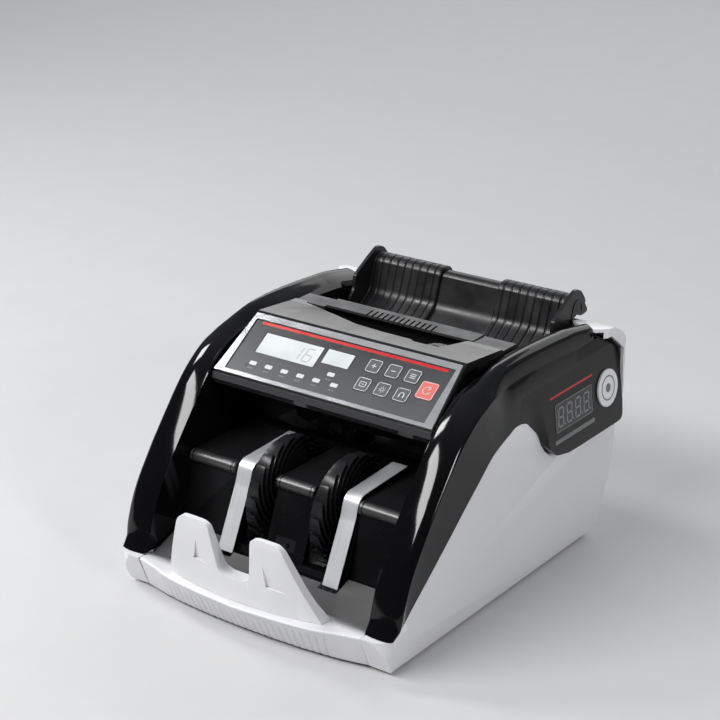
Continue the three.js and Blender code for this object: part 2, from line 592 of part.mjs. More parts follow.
// ---- electrics at the back ------------------------------------------------------------------
const INLET = { x0: -83.7, x1: -56.3, z0: 62.3, z1: 81.7 };
function powerInlet() {
  const { x0, x1, z0, z1 } = INLET;
  let body = join(box(x0, x1, 146, 167, z0, z1), box(x0 - 7, x1 + 7, 166.8, 169, z0 - 3, z1 + 3));
  const mouth = [[x0 + 3, z0 + 2.5], [x1 - 3, z0 + 2.5], [x1 - 3, z1 - 6], [x1 - 7, z1 - 2.5],
    [x0 + 7, z1 - 2.5], [x0 + 3, z1 - 6]];
  body = cut(body, prismY(mouth, 152, 175));
  const middle = (x0 + x1) / 2;
  for (const [x, z] of [[middle - 7, 70], [middle + 7, 70], [middle, 75]]) {
    body = join(body, box(x - 1, x + 1, 150, 164, z - 2, z + 2));
  }
  return body;
}

const SWITCH = { x0: -45.4, x1: -32.6, y: 165, z: 72, lean: 10 };
function rocker() {
  const face = [[4.5, 9], [2.4, 0], [4.5, -9], [-5, -6], [-5, 6]];
  const body = prismX(face, SWITCH.x0, SWITCH.x1).rotate([-SWITCH.lean, 0, 0]);
  return moved(body, 0, SWITCH.y, SWITCH.z);
}

function knob() {
  const { x, y, r } = KNOB;
  let body = rodZ(r, 168.6, 177, x, y, 24);
  for (let k = 0; k < 12; k++) {
    const a = k * Math.PI / 6;
    body = cut(body, rodZ(1, 160, 180, x + (r + 0.2) * Math.cos(a), y + (r + 0.2) * Math.sin(a), 8));
  }
  body = join(body, rodZ(4, 150, 170, x, y, 16), rodZ(4.5, 176, 178.6, x, y, 16));
  return cut(body, box(x - 4, x + 4, y - 0.6, y + 0.6, 177.6, 180));
}

const foot = (x, y) => join(rodZ(9, -FEET, -GAP, x, y, 24), rodZ(3.6, -1, 2.4, x, y, 16));

// ---- assembly -----------------------------------------------------------------------------
part('lower_case', lowerCase(), WHITE());
part('front_lip', frontLip(), WHITE());
part('rear_cover', rearCover(), WHITE());
part('right_arch_cover', archCover(true), GLOSS());
part('left_arch_cover', mirrored(archCover(false)), GLOSS());
part('side_display_window', windowPane(GAP, -1.8, 0.3), finish(0x101012, 0.05));
part('side_badge', onPod(rodX(15, 0.3, 1.8, 0, 0, 32), 143, 124), WHITE());
FOOT_PLACES.forEach(([x, y], i) => part(`foot_${i + 1}`, foot(x, y), RUBBER()));

part('hopper_tray', hopperTray(), BLACK());
part('right_note_guide', noteGuide(), BLACK());
part('left_note_guide', mirrored(noteGuide()), BLACK());
part('throat_plate', throatPlate(), BLACK());
part('right_throat_end', throatEnd(), BLACK());
part('left_throat_end', mirrored(throatEnd()), BLACK());
part('control_hood', controlHood(), GLOSS());
part('thickness_knob', knob(), finish(0x2a2a2c, 0.4));

const panel = new THREE.Group();
panel.position.set(0, PANEL.y, PANEL.z);
panel.rotation.x = PANEL.tilt * Math.PI / 180;
machine.add(panel);
part('panel_bezel', bezel(), finish(0x8c8f92, 0.2, 0.8), panel);
part('membrane_panel', membrane(), finish(0x2b2c2f, 0.15), panel);
part('control_board', box(-86, 86, -21, 21, -9.6, -8), finish(0x1d5a3a, 0.5), panel);
for (const d of DISPLAYS) part(d.name, display(d), finish(0xd8dcdc, 0.1), panel);
for (const key of KEYS) {
  const red = key.name === 'key_reset';
  part(key.name, keyCap(key), finish(red ? 0xd8574f : 0x54565b, 0.35), panel);
}

part('front_stopper', frontStopper(), WHITE());
part('stacker_floor', floorPlate(), finish(0x55565a, 0.4));
part('stacker_back_plate', backPlate(), BLACK());
part('right_guide_strip', guideStrip(), STEEL());
part('left_guide_strip', mirrored(guideStrip()), STEEL());
part('sensor_window', sensorWindow(), finish(0x0a0a0c, 0.05));

const wheelAt = (x) => moved(impellerWheel(), x, WHEEL.y, WHEEL.z);
part('impeller_shaft', shaft(-110, 110, WHEEL), STEEL());
part('right_impeller_wheel', wheelAt(WHEEL.x), BLACK());
part('left_impeller_wheel', wheelAt(-WHEEL.x), BLACK());
part('impeller_pulley', pulley(16, 4.3, -95, -89, WHEEL.y, WHEEL.z), BLACK());
part('stacker_motor', motor(STACK_MOTOR, -80, -34), STEEL());
part('stacker_motor_pulley', join(pulley(6, 0, -95, -89, STACK_MOTOR.y, STACK_MOTOR.z),
  rodX(2, -90, -80.3, STACK_MOTOR.y, STACK_MOTOR.z, 12)), BLACK());
part('stacker_belt', belt([WHEEL.y, WHEEL.z, 16], [STACK_MOTOR.y, STACK_MOTOR.z, 6], -93.8, -90.2),
  RUBBER());

part('feed_shaft', join(shaft(-110, 110, FEED), pulley(10, 0, 99.5, 105, FEED.y, FEED.z)), STEEL());
part('feed_drum', sleeve(FEED.r, -62, 62, FEED), RUBBER());
part('feed_pulley', pulley(20, 4.3, -87, -81, FEED.y, FEED.z), BLACK());
part('main_motor', motor(MAIN_MOTOR, -60, 12), STEEL());
part('main_motor_pulley', join(pulley(8, 0, -87, -81, MAIN_MOTOR.y, MAIN_MOTOR.z),
  rodX(3, -82, -60.3, MAIN_MOTOR.y, MAIN_MOTOR.z, 12)), BLACK());
part('feed_belt', belt([FEED.y, FEED.z, 20], [MAIN_MOTOR.y, MAIN_MOTOR.z, 8], -85.8, -82.2), RUBBER());
part('pickup_shaft', join(shaft(-110, 110, PICKUP), pulley(10, 0, 99.5, 105, PICKUP.y, PICKUP.z)),
  STEEL());
for (const side of [-1, 1]) {
  const x = side * PICKUP.x;
  part(side < 0 ? 'left_pickup_roller' : 'right_pickup_roller',
    sleeve(PICKUP.r, x - PICKUP.width / 2, x + PICKUP.width / 2, PICKUP), RUBBER());
}
part('pickup_belt', belt([FEED.y, FEED.z, 10], [PICKUP.y, PICKUP.z, 10], 100.5, 104), RUBBER());

part('right_side_frame', sideFrame(), STEEL());
part('left_side_frame', mirrored(sideFrame()), STEEL());
part('mainboard', box(20, 98, -24, 90, 12, 13.6), finish(0x1d5a3a, 0.5));
part('transformer', join(box(36, 84, 98, 134, 3.3, 44), box(42, 78, 94, 138, 12, 36)), STEEL());
part('power_inlet', powerInlet(), BLACK());
part('power_switch', rocker(), BLACK());

export default machine;
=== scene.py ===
"""The looks of the banknote counting machine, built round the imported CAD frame.

Outlines are given in millimetres in the case frame: x to the operator's right, y to the back and z
up from the bottom of the white case. mm() turns such a point into metres in the row frame.
"""
import math

import bmesh
import bpy
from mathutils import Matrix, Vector


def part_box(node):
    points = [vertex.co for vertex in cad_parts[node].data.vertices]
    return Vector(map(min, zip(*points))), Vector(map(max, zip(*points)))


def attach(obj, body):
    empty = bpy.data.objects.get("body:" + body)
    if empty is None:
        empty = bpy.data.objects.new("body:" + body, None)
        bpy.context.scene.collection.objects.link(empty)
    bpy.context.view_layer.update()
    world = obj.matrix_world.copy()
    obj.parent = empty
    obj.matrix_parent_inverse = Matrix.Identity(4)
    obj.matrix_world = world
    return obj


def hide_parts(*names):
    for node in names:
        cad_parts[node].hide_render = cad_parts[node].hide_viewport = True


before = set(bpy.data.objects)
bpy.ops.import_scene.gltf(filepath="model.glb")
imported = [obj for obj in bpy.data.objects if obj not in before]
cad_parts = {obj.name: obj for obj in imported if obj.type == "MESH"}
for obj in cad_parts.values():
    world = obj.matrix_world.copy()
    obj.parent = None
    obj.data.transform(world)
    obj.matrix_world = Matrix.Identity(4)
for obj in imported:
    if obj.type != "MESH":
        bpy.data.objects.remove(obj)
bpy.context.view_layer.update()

# ---- driving dimensions, in millimetres ---------------------------------------------------------
SIDE = 124.5            # outer half width of the case
CHEEK = 102.5           # half width of the note pocket
WALL = 2.5              # wall of the black mouldings
CASE_WALL = 3           # wall of the white case
GAP = 0.3               # seam between two mouldings
COVER_UNDERSIDE = 166.8 # height of the rear cover's lower edge over the fenders
CASE_FRONT = -149.3     # front of the lower case, where the fenders start
# The case frame's origin in the row frame, in metres.
CASE_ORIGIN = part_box("lower_case")[0] * Vector((0, 1, 1)) - Vector((0, CASE_FRONT, 0)) / 1000
PANEL_MIDDLE = (-35.65, 167.9)          # y and z
PANEL_TILT = math.radians(34.4)
POD_MIDDLE = (128.0, 93.0, 123.0)       # middle of the side display's face
POD_TILT = math.radians(6.5)
WHEEL = {"y": -60, "z": 68, "radius": 44.6, "hub": 13, "x": 29.5, "width": 19, "blades": 22}
UNIT_X, UNIT_Y, UNIT_Z = Vector((1, 0, 0)), Vector((0, 1, 0)), Vector((0, 0, 1))


def mm(x, y, z):
    """A case-frame point in millimetres as a row-frame point in metres."""
    return CASE_ORIGIN + Vector((x, y, z)) / 1000


# ---- materials ----------------------------------------------------------------------------------
def new_material(name, colour, roughness, metallic=0):
    """A material with a Principled shader; returns the material, its node tree and the shader."""
    material = bpy.data.materials.new(name)
    material.use_nodes = True
    shader = material.node_tree.nodes["Principled BSDF"]
    shader.inputs["Base Color"].default_value = (*colour, 1)
    shader.inputs["Roughness"].default_value = roughness
    shader.inputs["Metallic"].default_value = metallic
    return material, material.node_tree, shader


def noise(tree, scale, detail=3.0, stretch=(1, 1, 1)):
    """Noise in row-frame metres; scale is in cycles per metre."""
    place = tree.nodes.new("ShaderNodeTexCoord")
    mapping = tree.nodes.new("ShaderNodeMapping")
    mapping.inputs["Scale"].default_value = stretch
    texture = tree.nodes.new("ShaderNodeTexNoise")
    texture.inputs["Scale"].default_value = scale
    texture.inputs["Detail"].default_value = detail
    tree.links.new(place.outputs["Object"], mapping.inputs["Vector"])
    tree.links.new(mapping.outputs["Vector"], texture.inputs["Vector"])
    return texture.outputs["Fac"]


def ranged(tree, value, low, high, from_low=0.3, from_high=0.7):
    """The value mapped from its usual range to low..high."""
    node = tree.nodes.new("ShaderNodeMapRange")
    limits = {"From Min": from_low, "From Max": from_high, "To Min": low, "To Max": high}
    for key, limit in limits.items():
        node.inputs[key].default_value = limit
    tree.links.new(value, node.inputs["Value"])
    return node.outputs["Result"]


def mixed(tree, factor, first, second):
    """A colour between two given colours, or between a socket and a colour."""
    node = tree.nodes.new("ShaderNodeMix")
    node.data_type = "RGBA"
    tree.links.new(factor, node.inputs["Factor"])
    for key, colour in (("A", first), ("B", second)):
        socket = [s for s in node.inputs if s.name == key and s.type == "RGBA"][0]
        if isinstance(colour, tuple):
            socket.default_value = (*colour, 1)
        else:
            tree.links.new(colour, socket)
    return [s for s in node.outputs if s.type == "RGBA"][0]


def wired(tree, shader, colour, roughness, heights):
    """Feeds the shader its colour, roughness and bump maps; each map is (socket, depth in m)."""
    tree.links.new(colour, shader.inputs["Base Color"])
    tree.links.new(roughness, shader.inputs["Roughness"])
    normal = None
    for value, depth in heights:
        bump = tree.nodes.new("ShaderNodeBump")
        bump.inputs["Strength"].default_value = 1.0
        bump.inputs["Distance"].default_value = depth
        tree.links.new(value, bump.inputs["Height"])
        if normal:
            tree.links.new(normal, bump.inputs["Normal"])
        normal = bump.outputs["Normal"]
    tree.links.new(normal, shader.inputs["Normal"])


def edge_wear(tree, colour, worn):
    """Lightens or darkens the convex edges, where hands and handling polish a moulding."""
    geometry = tree.nodes.new("ShaderNodeNewGeometry")
    mask = ranged(tree, geometry.outputs["Pointiness"], 0.0, 1.0, 0.54, 0.64)
    return mixed(tree, mask, colour, worn)


def plastic(name, colour, roughness, spread, grain=(0.4, 0.004), tint=0.06, wear=None, shine=0.5):
    """Moulded plastic: grain is (size, depth) of its texture in millimetres."""
    material, tree, shader = new_material(name, colour, roughness)
    shader.inputs["Specular IOR Level"].default_value = shine
    cloud = noise(tree, 22)
    darker = tuple(c * (1 - tint) for c in colour)
    lighter = tuple(min(1.0, c * (1 + tint)) for c in colour)
    base = mixed(tree, ranged(tree, cloud, 0, 1), darker, lighter)
    if wear:
        base = edge_wear(tree, base, wear)
    rough = ranged(tree, noise(tree, 60, 5), roughness - spread, roughness + spread)
    size, depth = grain
    wired(tree, shader, base, rough, [(noise(tree, 1000 / size, 2), depth / 1000)])
    return material


def gloss_black():
    """High-gloss black: faint flow ripple, hazy finger smears and a little dust."""
    colour = (0.003, 0.003, 0.0035)
    material, tree, shader = new_material("gloss_black", colour, 0.07)
    shader.inputs["Specular IOR Level"].default_value = 0.27
    dust = noise(tree, 1500, 1)
    specks = ranged(tree, dust, 0, 0.35, 0.74, 0.8)
    base = mixed(tree, specks, colour, (0.12, 0.12, 0.12))
    base = edge_wear(tree, base, (0.03, 0.03, 0.032))
    rough = ranged(tree, noise(tree, 34, 6, (1, 0.4, 1)), 0.05, 0.1)
    ripple, peel = noise(tree, 45, 1), noise(tree, 420, 2)
    wired(tree, shader, base, rough, [(ripple, 0.00004), (peel, 0.000004)])
    return material


def steel(name, colour, roughness, along, metallic=1.0):
    """Brushed metal, its hairlines drawn out along the axis with the smallest stretch."""
    material, tree, shader = new_material(name, colour, roughness, metallic)
    hair = noise(tree, 1500, 3, along)
    cloud = noise(tree, 40, 4)
    dull = tuple(c * 0.82 for c in colour)
    base = mixed(tree, ranged(tree, hair, 0, 1), dull, colour)
    rough = ranged(tree, cloud, roughness - 0.04, roughness + 0.04)
    wired(tree, shader, base, rough, [(hair, 0.000012)])
    return material


def rubber(name, colour=(0.018, 0.018, 0.02)):
    """Matt rubber with a dusty, uneven sheen."""
    material, tree, shader = new_material(name, colour, 0.75)
    cloud = noise(tree, 90, 5)
    base = mixed(tree, ranged(tree, cloud, 0, 1), colour, tuple(c * 2.2 for c in colour))
    base = edge_wear(tree, base, (0.07, 0.07, 0.07))
    rough = ranged(tree, cloud, 0.62, 0.88)
    wired(tree, shader, base, rough, [(noise(tree, 1800, 3), 0.00003)])
    return material


def overlay_film():
    """Overlay film: dark at the top, fading to a lighter grey at its lower right corner."""
    dark, light = (0.012, 0.012, 0.014), (0.085, 0.087, 0.095)
    material, tree, shader = new_material("overlay_film", dark, 0.28)
    place = tree.nodes.new("ShaderNodeTexCoord")
    split = tree.nodes.new("ShaderNodeSeparateXYZ")
    tree.links.new(place.outputs["Generated"], split.inputs["Vector"])
    across = ranged(tree, split.outputs["X"], 0.0, 0.55, 0.0, 1.0)
    upward = ranged(tree, split.outputs["Z"], 0.5, -0.12, 0.0, 1.0)
    both = tree.nodes.new("ShaderNodeMath")
    both.operation = "ADD"
    both.use_clamp = True
    tree.links.new(across, both.inputs[0])
    tree.links.new(upward, both.inputs[1])
    base = mixed(tree, both.outputs["Value"], dark, light)
    rough = ranged(tree, noise(tree, 70, 5), 0.27, 0.33)
    wired(tree, shader, base, rough, [(noise(tree, 2600, 2), 0.000006)])
    return material


def display_glass():
    """A pale reflective display: a cloudy tint and a fine cell grain under a clear coat."""
    material, tree, shader = new_material("display_glass", (0.68, 0.72, 0.71), 0.16)
    cloud = noise(tree, 30, 2)
    base = mixed(tree, ranged(tree, cloud, 0, 1), (0.62, 0.66, 0.65), (0.76, 0.79, 0.79))
    rough = ranged(tree, cloud, 0.12, 0.22)
    wired(tree, shader, base, rough, [(noise(tree, 2200, 1), 0.000004)])
    shader.inputs["Coat Weight"].default_value = 0.6
    shader.inputs["Coat Roughness"].default_value = 0.05
    return material


def circuit_board():
    """Green lacquer with paler, slightly raised tracks."""
    material, tree, shader = new_material("circuit_board", (0.015, 0.11, 0.05), 0.4)
    tracks = noise(tree, 260, 0, (1, 0.25, 1))
    mask = ranged(tree, tracks, 0, 1, 0.5, 0.53)
    base = mixed(tree, mask, (0.012, 0.09, 0.04), (0.03, 0.17, 0.08))
    wired(tree, shader, base, ranged(tree, tracks, 0.3, 0.5), [(mask, 0.00003)])
    return material


MATERIALS = {
    "white": plastic("case_white", (0.78, 0.78, 0.81), 0.42, 0.03, (0.5, 0.004), 0.012,
                     (0.88, 0.88, 0.9), 0.4),
    "stopper": plastic("stopper_white", (0.8, 0.8, 0.82), 0.42, 0.02, (0.8, 0.003), 0.012,
                       (0.88, 0.88, 0.89), 0.4),
    "gloss": gloss_black(),
    "black": plastic("satin_black", (0.009, 0.009, 0.01), 0.34, 0.08, (0.5, 0.012), 0.2,
                     (0.03, 0.03, 0.032), 0.4),
    "stacker": plastic("stacker_black", (0.0025, 0.0025, 0.003), 0.24, 0.06, (0.5, 0.008), 0.2,
                       (0.012, 0.012, 0.013), 0.16),
    # The bead's black is lighter than the back plate's: a painted sheen that brightens its
    # highlights.
    "bead": plastic("bead_black_painted_sheen", (0.03, 0.03, 0.031), 0.36, 0.03, (0.5, 0.004), 0.1, shine=1.0),
    "wheel": plastic("wheel", (0.002, 0.002, 0.0023), 0.26, 0.06, wear=(0.022, 0.022, 0.024),
                     shine=0.22),
    "bright_black": plastic("smooth_black", (0.006, 0.006, 0.007), 0.2, 0.07, (0.9, 0.004), 0.2,
                            (0.03, 0.03, 0.032)),
    "floor": plastic("floor_grey", (0.05, 0.05, 0.053), 0.42, 0.08, (0.6, 0.02), 0.15,
                     (0.1, 0.1, 0.1)),
    "silver": steel("bright_trim", (0.74, 0.75, 0.77), 0.2, (0.02, 1, 1), 0.85),
    "strip_steel": steel("brushed_strip", (0.72, 0.73, 0.75), 0.42, (1, 0.03, 0.03), 0.45),
    "steel": steel("turned_steel", (0.5, 0.51, 0.53), 0.36, (0.05, 1, 1)),
    "film": overlay_film(),
    "lcd": display_glass(),
    "key": plastic("key_grey", (0.05, 0.052, 0.058), 0.3, 0.06, (0.4, 0.004), 0.1,
                   (0.12, 0.12, 0.13)),
    "key_red": plastic("key_red", (0.62, 0.075, 0.06), 0.32, 0.06, (0.4, 0.004), 0.08,
                       (0.75, 0.2, 0.17)),
    "red": plastic("printed_red", (0.55, 0.012, 0.018), 0.3, 0.05, (0.3, 0.002), 0.06),
    "print": plastic("printed_white", (0.62, 0.63, 0.64), 0.35, 0.05, (0.3, 0.002), 0.04),
    "print_grey": plastic("printed_grey", (0.16, 0.165, 0.17), 0.35, 0.05, (0.3, 0.002), 0.06),
    "digit": plastic("digit_grey", (0.2, 0.205, 0.21), 0.3, 0.05, (0.3, 0.002), 0.06),
    "lcd_digit": plastic("display_digit", (0.42, 0.45, 0.44), 0.3, 0.04, (0.3, 0.002), 0.04),
    "rubber": rubber("rubber_black"),
    "roller": rubber("rubber_grey", (0.06, 0.058, 0.055)),
    "board": circuit_board(),
}


# ---- mesh building ------------------------------------------------------------------------------
def placed(name, data):
    """A new object with the data, linked into the scene."""
    obj = bpy.data.objects.new(name, data)
    bpy.context.scene.collection.objects.link(obj)
    return obj


def mesh_object(name, points, faces):
    """A mesh object with outward normals; points are in metres."""
    mesh = bpy.data.meshes.new(name)
    mesh.from_pydata([tuple(p) for p in points], [], faces)
    work = bmesh.new()
    work.from_mesh(mesh)
    bmesh.ops.remove_doubles(work, verts=work.verts, dist=1e-7)
    bmesh.ops.recalc_face_normals(work, faces=work.faces)
    work.to_mesh(mesh)
    work.free()
    return placed(name, mesh)


def along_axis(axis, a, b, c):
    """The case-frame point with outline coordinates (a, b) at place c along the axis."""
    return {"x": mm(c, a, b), "y": mm(a, c, b), "z": mm(a, b, c)}[axis]


def prism(axis, outline, low, high):
    """A closed prism: outline points are (y, z), (x, z) or (x, y) for axis x, y or z."""
    count = len(outline)
    points = [along_axis(axis, a, b, c) for c in (low, high) for a, b in outline]
    faces = [list(range(count)), list(range(count, 2 * count))]
    faces += [[i, (i + 1) % count, count + (i + 1) % count, count + i] for i in range(count)]
    return mesh_object("prism", points, faces)


def rectangle(x0, x1, y0, y1):
    return [(x0, y0), (x1, y0), (x1, y1), (x0, y1)]


def block(x0, x1, y0, y1, z0, z1):
    return prism("z", rectangle(x0, x1, y0, y1), z0, z1)


def circle(u, v, radius, count=40, start=0, turn=math.tau):
    """Points on a circle or an arc of it."""
    steps = count if turn == math.tau else count - 1
    return [(u + radius * math.cos(start + turn * i / steps),
             v + radius * math.sin(start + turn * i / steps)) for i in range(count)]


def grid_surface(name, rows, closed_rows=False):
    """A surface through rows of points, joined row to row; closed_rows joins each row's ends."""
    width = len(rows[0])
    faces = []
    for i in range(len(rows) - 1):
        for j in range(width if closed_rows else width - 1):
            k = (j + 1) % width
            faces.append([i * width + j, i * width + k, (i + 1) * width + k, (i + 1) * width + j])
    if closed_rows:
        faces.append(list(range(width)))
        faces.append(list(range((len(rows) - 1) * width, len(rows) * width)))
    return mesh_object(name, [p for row in rows for p in row], faces)


def applied(obj):
    """Makes the object's modifiers real and removes them."""
    graph = bpy.context.evaluated_depsgraph_get()
    mesh = bpy.data.meshes.new_from_object(obj.evaluated_get(graph))
    obj.modifiers.clear()
    obj.data = mesh
    return obj


def combined(body, tools, operation="DIFFERENCE"):
    """Cuts the tools from the body, or keeps what they share with it; the tools are used up."""
    for tool in tools:
        modifier = body.modifiers.new("combine", "BOOLEAN")
        modifier.operation = operation
        modifier.solver = "EXACT"
        modifier.object = tool
    applied(body)
    for tool in tools:
        bpy.data.objects.remove(tool)
    return body


def mirror(obj):
    """Moves the object to the other side of the machine."""
    for vertex in obj.data.vertices:
        vertex.co.x = -vertex.co.x
    obj.data.flip_normals()


def spline(points, steps):
    """A smooth line through the points (Catmull-Rom), any number of coordinates each."""
    line = []
    ends = [points[0], *points, points[-1]]
    for i in range(1, len(ends) - 2):
        p0, p1, p2, p3 = ends[i - 1:i + 3]
        for k in range(steps):
            t = k / steps
            line.append(tuple(
                0.5 * (2 * b + (c - a) * t + (2 * a - 5 * b + 4 * c - d) * t * t
                       + (3 * b - a - 3 * c + d) * t ** 3)
                for a, b, c, d in zip(p0, p1, p2, p3)))
    line.append(tuple(points[-1]))
    return line


def between(a, b, share):
    """The point that lies the share of the way from a to b."""
    return tuple(p + (q - p) * share for p, q in zip(a, b))


def looked_up(table, place):
    """The value at a place in a table of (place, value), straight between its rows."""
    for (x0, y0), (x1, y1) in zip(table, table[1:]):
        if place <= x1:
            return y0 + (y1 - y0) * (place - x0) / (x1 - x0)
    return table[-1][1]


def groove(x, ribs):
    """How deep the grooves of a row of ribs are at x."""
    phase = (x - ribs["first"]) / ribs["pitch"]
    off = (phase - round(phase)) * ribs["pitch"] / ribs["width"]
    return ribs["depth"] * math.exp(-off * off)


def offset_line(line, distance):
    """The line moved to its left by the distance."""
    moved = []
    for i, (y, z) in enumerate(line):
        y0, z0 = line[max(i - 1, 0)]
        y1, z1 = line[min(i + 1, len(line) - 1)]
        length = math.hypot(y1 - y0, z1 - z0)
        moved.append((y - (z1 - z0) / length * distance, z + (y1 - y0) / length * distance))
    return moved


def thick_line(line, low, high):
    """The closed outline of a sheet whose faces lie low and high to the left of the line."""
    return offset_line(line, low) + offset_line(line, high)[::-1]


def smooth_edges(obj, width, segments=3):
    """Rounds the edges by width millimetres and keeps flat faces flat in the shading."""
    for polygon in obj.data.polygons:
        polygon.use_smooth = True
    if width:
        bevel = obj.modifiers.new("rounded_edges", "BEVEL")
        bevel.width = width / 1000
        bevel.segments = segments
        bevel.limit_method = "ANGLE"
        bevel.angle_limit = math.radians(32)
        bevel.use_clamp_overlap = True
        bevel.miter_outer = "MITER_ARC"
    weighted = obj.modifiers.new("even_shading", "WEIGHTED_NORMAL")
    weighted.mode = "FACE_AREA"
    weighted.weight = 60
    weighted.keep_sharp = True


def paint(obj, material):
    obj.data.materials.clear()
    obj.data.materials.append(MATERIALS[material])
    return obj


def finished(obj, name, material, body, width=0, replaces=(), segments=3):
    """Names, paints and rounds a piece, and makes it ride with its CAD body."""
    obj.name = name
    paint(obj, material)
    smooth_edges(obj, width, segments)
    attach(obj, body)
    if replaces:
        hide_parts(*replaces)


# ---- fenders ------------------------------------------------------------------------------------
# CREST runs along the top of a fender and SHOULDER along its lower edge, as (y, z). The sections
# run across it from the pocket outwards, as (x, how far below the crest).
CREST = [
    (-149.3, 27.1), (-137.7, 56.2), (-125.8, 81.5), (-110.5, 105.4), (-94, 127.1), (-76.5, 148.2),
    (-63.5, 160.8), (-49.5, 170.6), (-37, 176), (-24.4, 179.4), (2.3, 183.3), (22, 185),
    (42, 185.4), (57, 185.1), (72, 184.5), (86.3, 183.7), (105, 182.2), (140, 176),
]
SHOULDER = [
    (-138, 26.5), (-127, 33.5), (-114.5, 43.5), (-93, 60), (-71, 77.5), (-49, 95.3), (-34, 107),
    (-17.6, 120), (-6, 126), (6, 130.6), (16, 133.8), (30, 131.5), (45, 118), (53, 105), (64, 95),
    (82, 91.5), (100, 91.3), (140, 91),
]
FRONT_SECTION = [
    (CHEEK, 10.7), (105, 9.9), (108.5, 9.1), (112.5, 8.6), (116.5, 8.6), (120.5, 9.2), (124, 10.4),
    (126.6, 12), (128.1, 13.8),
]
REAR_SECTION = [
    (CHEEK, 10), (104.6, 6.4), (107.6, 3.2), (111, 1), (114.2, 0.2), (117.2, 1), (119.8, 4.2),
    (121.2, 10), (121.9, 17),
]
FRONT_CROWN, REAR_CROWN = spline(FRONT_SECTION, 4), spline(REAR_SECTION, 4)
BLEND = (-48, 8)        # the front section turns into the rear one between these two places
WIDENING = {"by": 4.7, "until": 25, "inside": 110, "over": 7.5}     # inner edge, behind y 0
FOOT = {"squeeze": 0.8, "heights": (12, 56)}    # how the section shrinks towards the foot
REAR_FOLD = 0.86        # share of the rear wall that stands straight under its leaning top
INNER_WALL = {"full": -20, "depth": 30}         # full depth in front of y -20, 30 behind it
TUCK = {"in": 3, "down": 4, "back": 0.2}        # how the skin turns under the rear cover
# The rear cover's front edge, as (x, y).
SEAM = [(88, 143), (97, 139), (113.6, 131), (122, 131.4), (128.7, 137.5), (142, 152)]
# The display pod's side outline, as (y, z).
POD = [
    (21, 134), (30, 131.5), (45, 118), (53, 105), (64, 95), (82, 91.3), (100, 91), (159, 91),
    (163.4, 91.6), (166.2, 94.4), (167.2, 106), (165.4, 131), (164.8, 150.6), (158, 156),
    (144.5, 165.8), (117.8, 166.5), (79, 167.7), (43, 168.3), (23.4, 165.7),
]


def eased(value, low, high):
    """0 below low, 1 above high and a smooth step between."""
    t = min(1.0, max(0.0, (value - low) / (high - low)))
    return t * t * (3 - 2 * t)


def fender_point(crest, base, place, down_wall=0):
    """A point of the skin: place runs along the section, down_wall (0 to 1) from its end down."""
    depth = math.dist(crest, base)
    share = eased(crest[0], *BLEND)
    x, drop = (f * (1 - share) + r * share for f, r in zip(FRONT_CROWN[place], REAR_CROWN[place]))
    widening = WIDENING["by"] * min(1, max(0, crest[0] / WIDENING["until"]))
    if x < WIDENING["inside"]:
        x -= widening * (WIDENING["inside"] - x) / WIDENING["over"]
    drop *= min(1, FOOT["squeeze"] * depth / FRONT_SECTION[-1][1])
    if x > SIDE:
        x = SIDE + (x - SIDE) * eased(crest[1], *FOOT["heights"])
    x += (SIDE - x) * min(1, down_wall / (1 - REAR_FOLD * share))
    return (x, *between(crest, base, (drop + (depth - drop) * down_wall) / depth))


def fender_skin():
    """The fender from the inside of the cheek over the crown and down to the shoulder line."""
    pairs = list(zip(spline(CREST, 9), spline(SHOULDER, 9)))
    inside = []
    for crest, base in pairs:
        full = crest[0] <= INNER_WALL["full"]
        reach = 1.0 if full else min(1.0, INNER_WALL["depth"] / math.dist(crest, base))
        inside.append((fender_point(crest, base, 0)[0], *between(crest, base, reach)))
    last = len(FRONT_CROWN) - 1
    stops = [(place, 0) for place in range(last)]
    stops += [(last, down) for down in (0, 1 - REAR_FOLD, 0.4, 0.7, 1)]
    paths = [inside] + [[fender_point(*pair, *stop) for pair in pairs] for stop in stops]
    columns = [under_seam(path) for path in paths]
    rows = [[mm(*column[i]) for column in columns] for i in range(len(columns[0]))]
    skin = grid_surface("fender", rows)
    shell = skin.modifiers.new("wall", "SOLIDIFY")
    shell.thickness = 1.8 / 1000
    shell.offset = -1
    return applied(skin)


def under_seam(path):
    """Ends the column on the seam to the rear cover and turns it down or towards the pocket."""
    end = next((i for i, (x, y, z) in enumerate(path) if y > looked_up(SEAM, x)), None)
    if end is None:
        return path + [path[-1]] * 2
    before, after = path[end - 1], path[end]
    edge = between(before, after, (looked_up(SEAM, before[0]) - before[1]) / (after[1] - before[1]))
    shown = path[:end - 1] + [edge]
    low = edge[2] < COVER_UNDERSIDE
    tucked = (edge[0] - (TUCK["in"] if low else 0), edge[1] + TUCK["back"],
              edge[2] - (0 if low else TUCK["down"]))
    while len(shown) < len(path):
        shown.append(tucked)
    return shown + [tucked, tucked]


def cheek_wall():
    """The flat inner wall of the pocket, under the fender's inner edge."""
    crests = [c for c in spline(CREST, 9) if c[0] < -12]
    edge = [(y + 7, z - 7) for y, z in crests[3:]]
    outline = [(-138.5, 26.8)] + edge + [(-4, 168), (-4, 30), (-90, 30), (-106, 26.6)]
    wall = prism("x", outline, CHEEK + 0.05, CHEEK + WALL)
    hole = prism("x", circle(WHEEL["y"], WHEEL["z"], 6), 90, 110)
    return combined(wall, [hole])


def sliced(obj, point, normal):
    """Keeps the part of a closed body behind the plane and closes the cut."""
    work = bmesh.new()
    work.from_mesh(obj.data)
    cut = bmesh.ops.bisect_plane(work, geom=work.verts[:] + work.edges[:] + work.faces[:],
                                 plane_co=mm(*point), plane_no=Vector(normal), clear_outer=True)
    edges = [g for g in cut["geom_cut"] if isinstance(g, bmesh.types.BMEdge)]
    bmesh.ops.contextual_create(work, geom=edges)
    bmesh.ops.recalc_face_normals(work, faces=work.faces)
    work.to_mesh(obj.data)
    work.free()


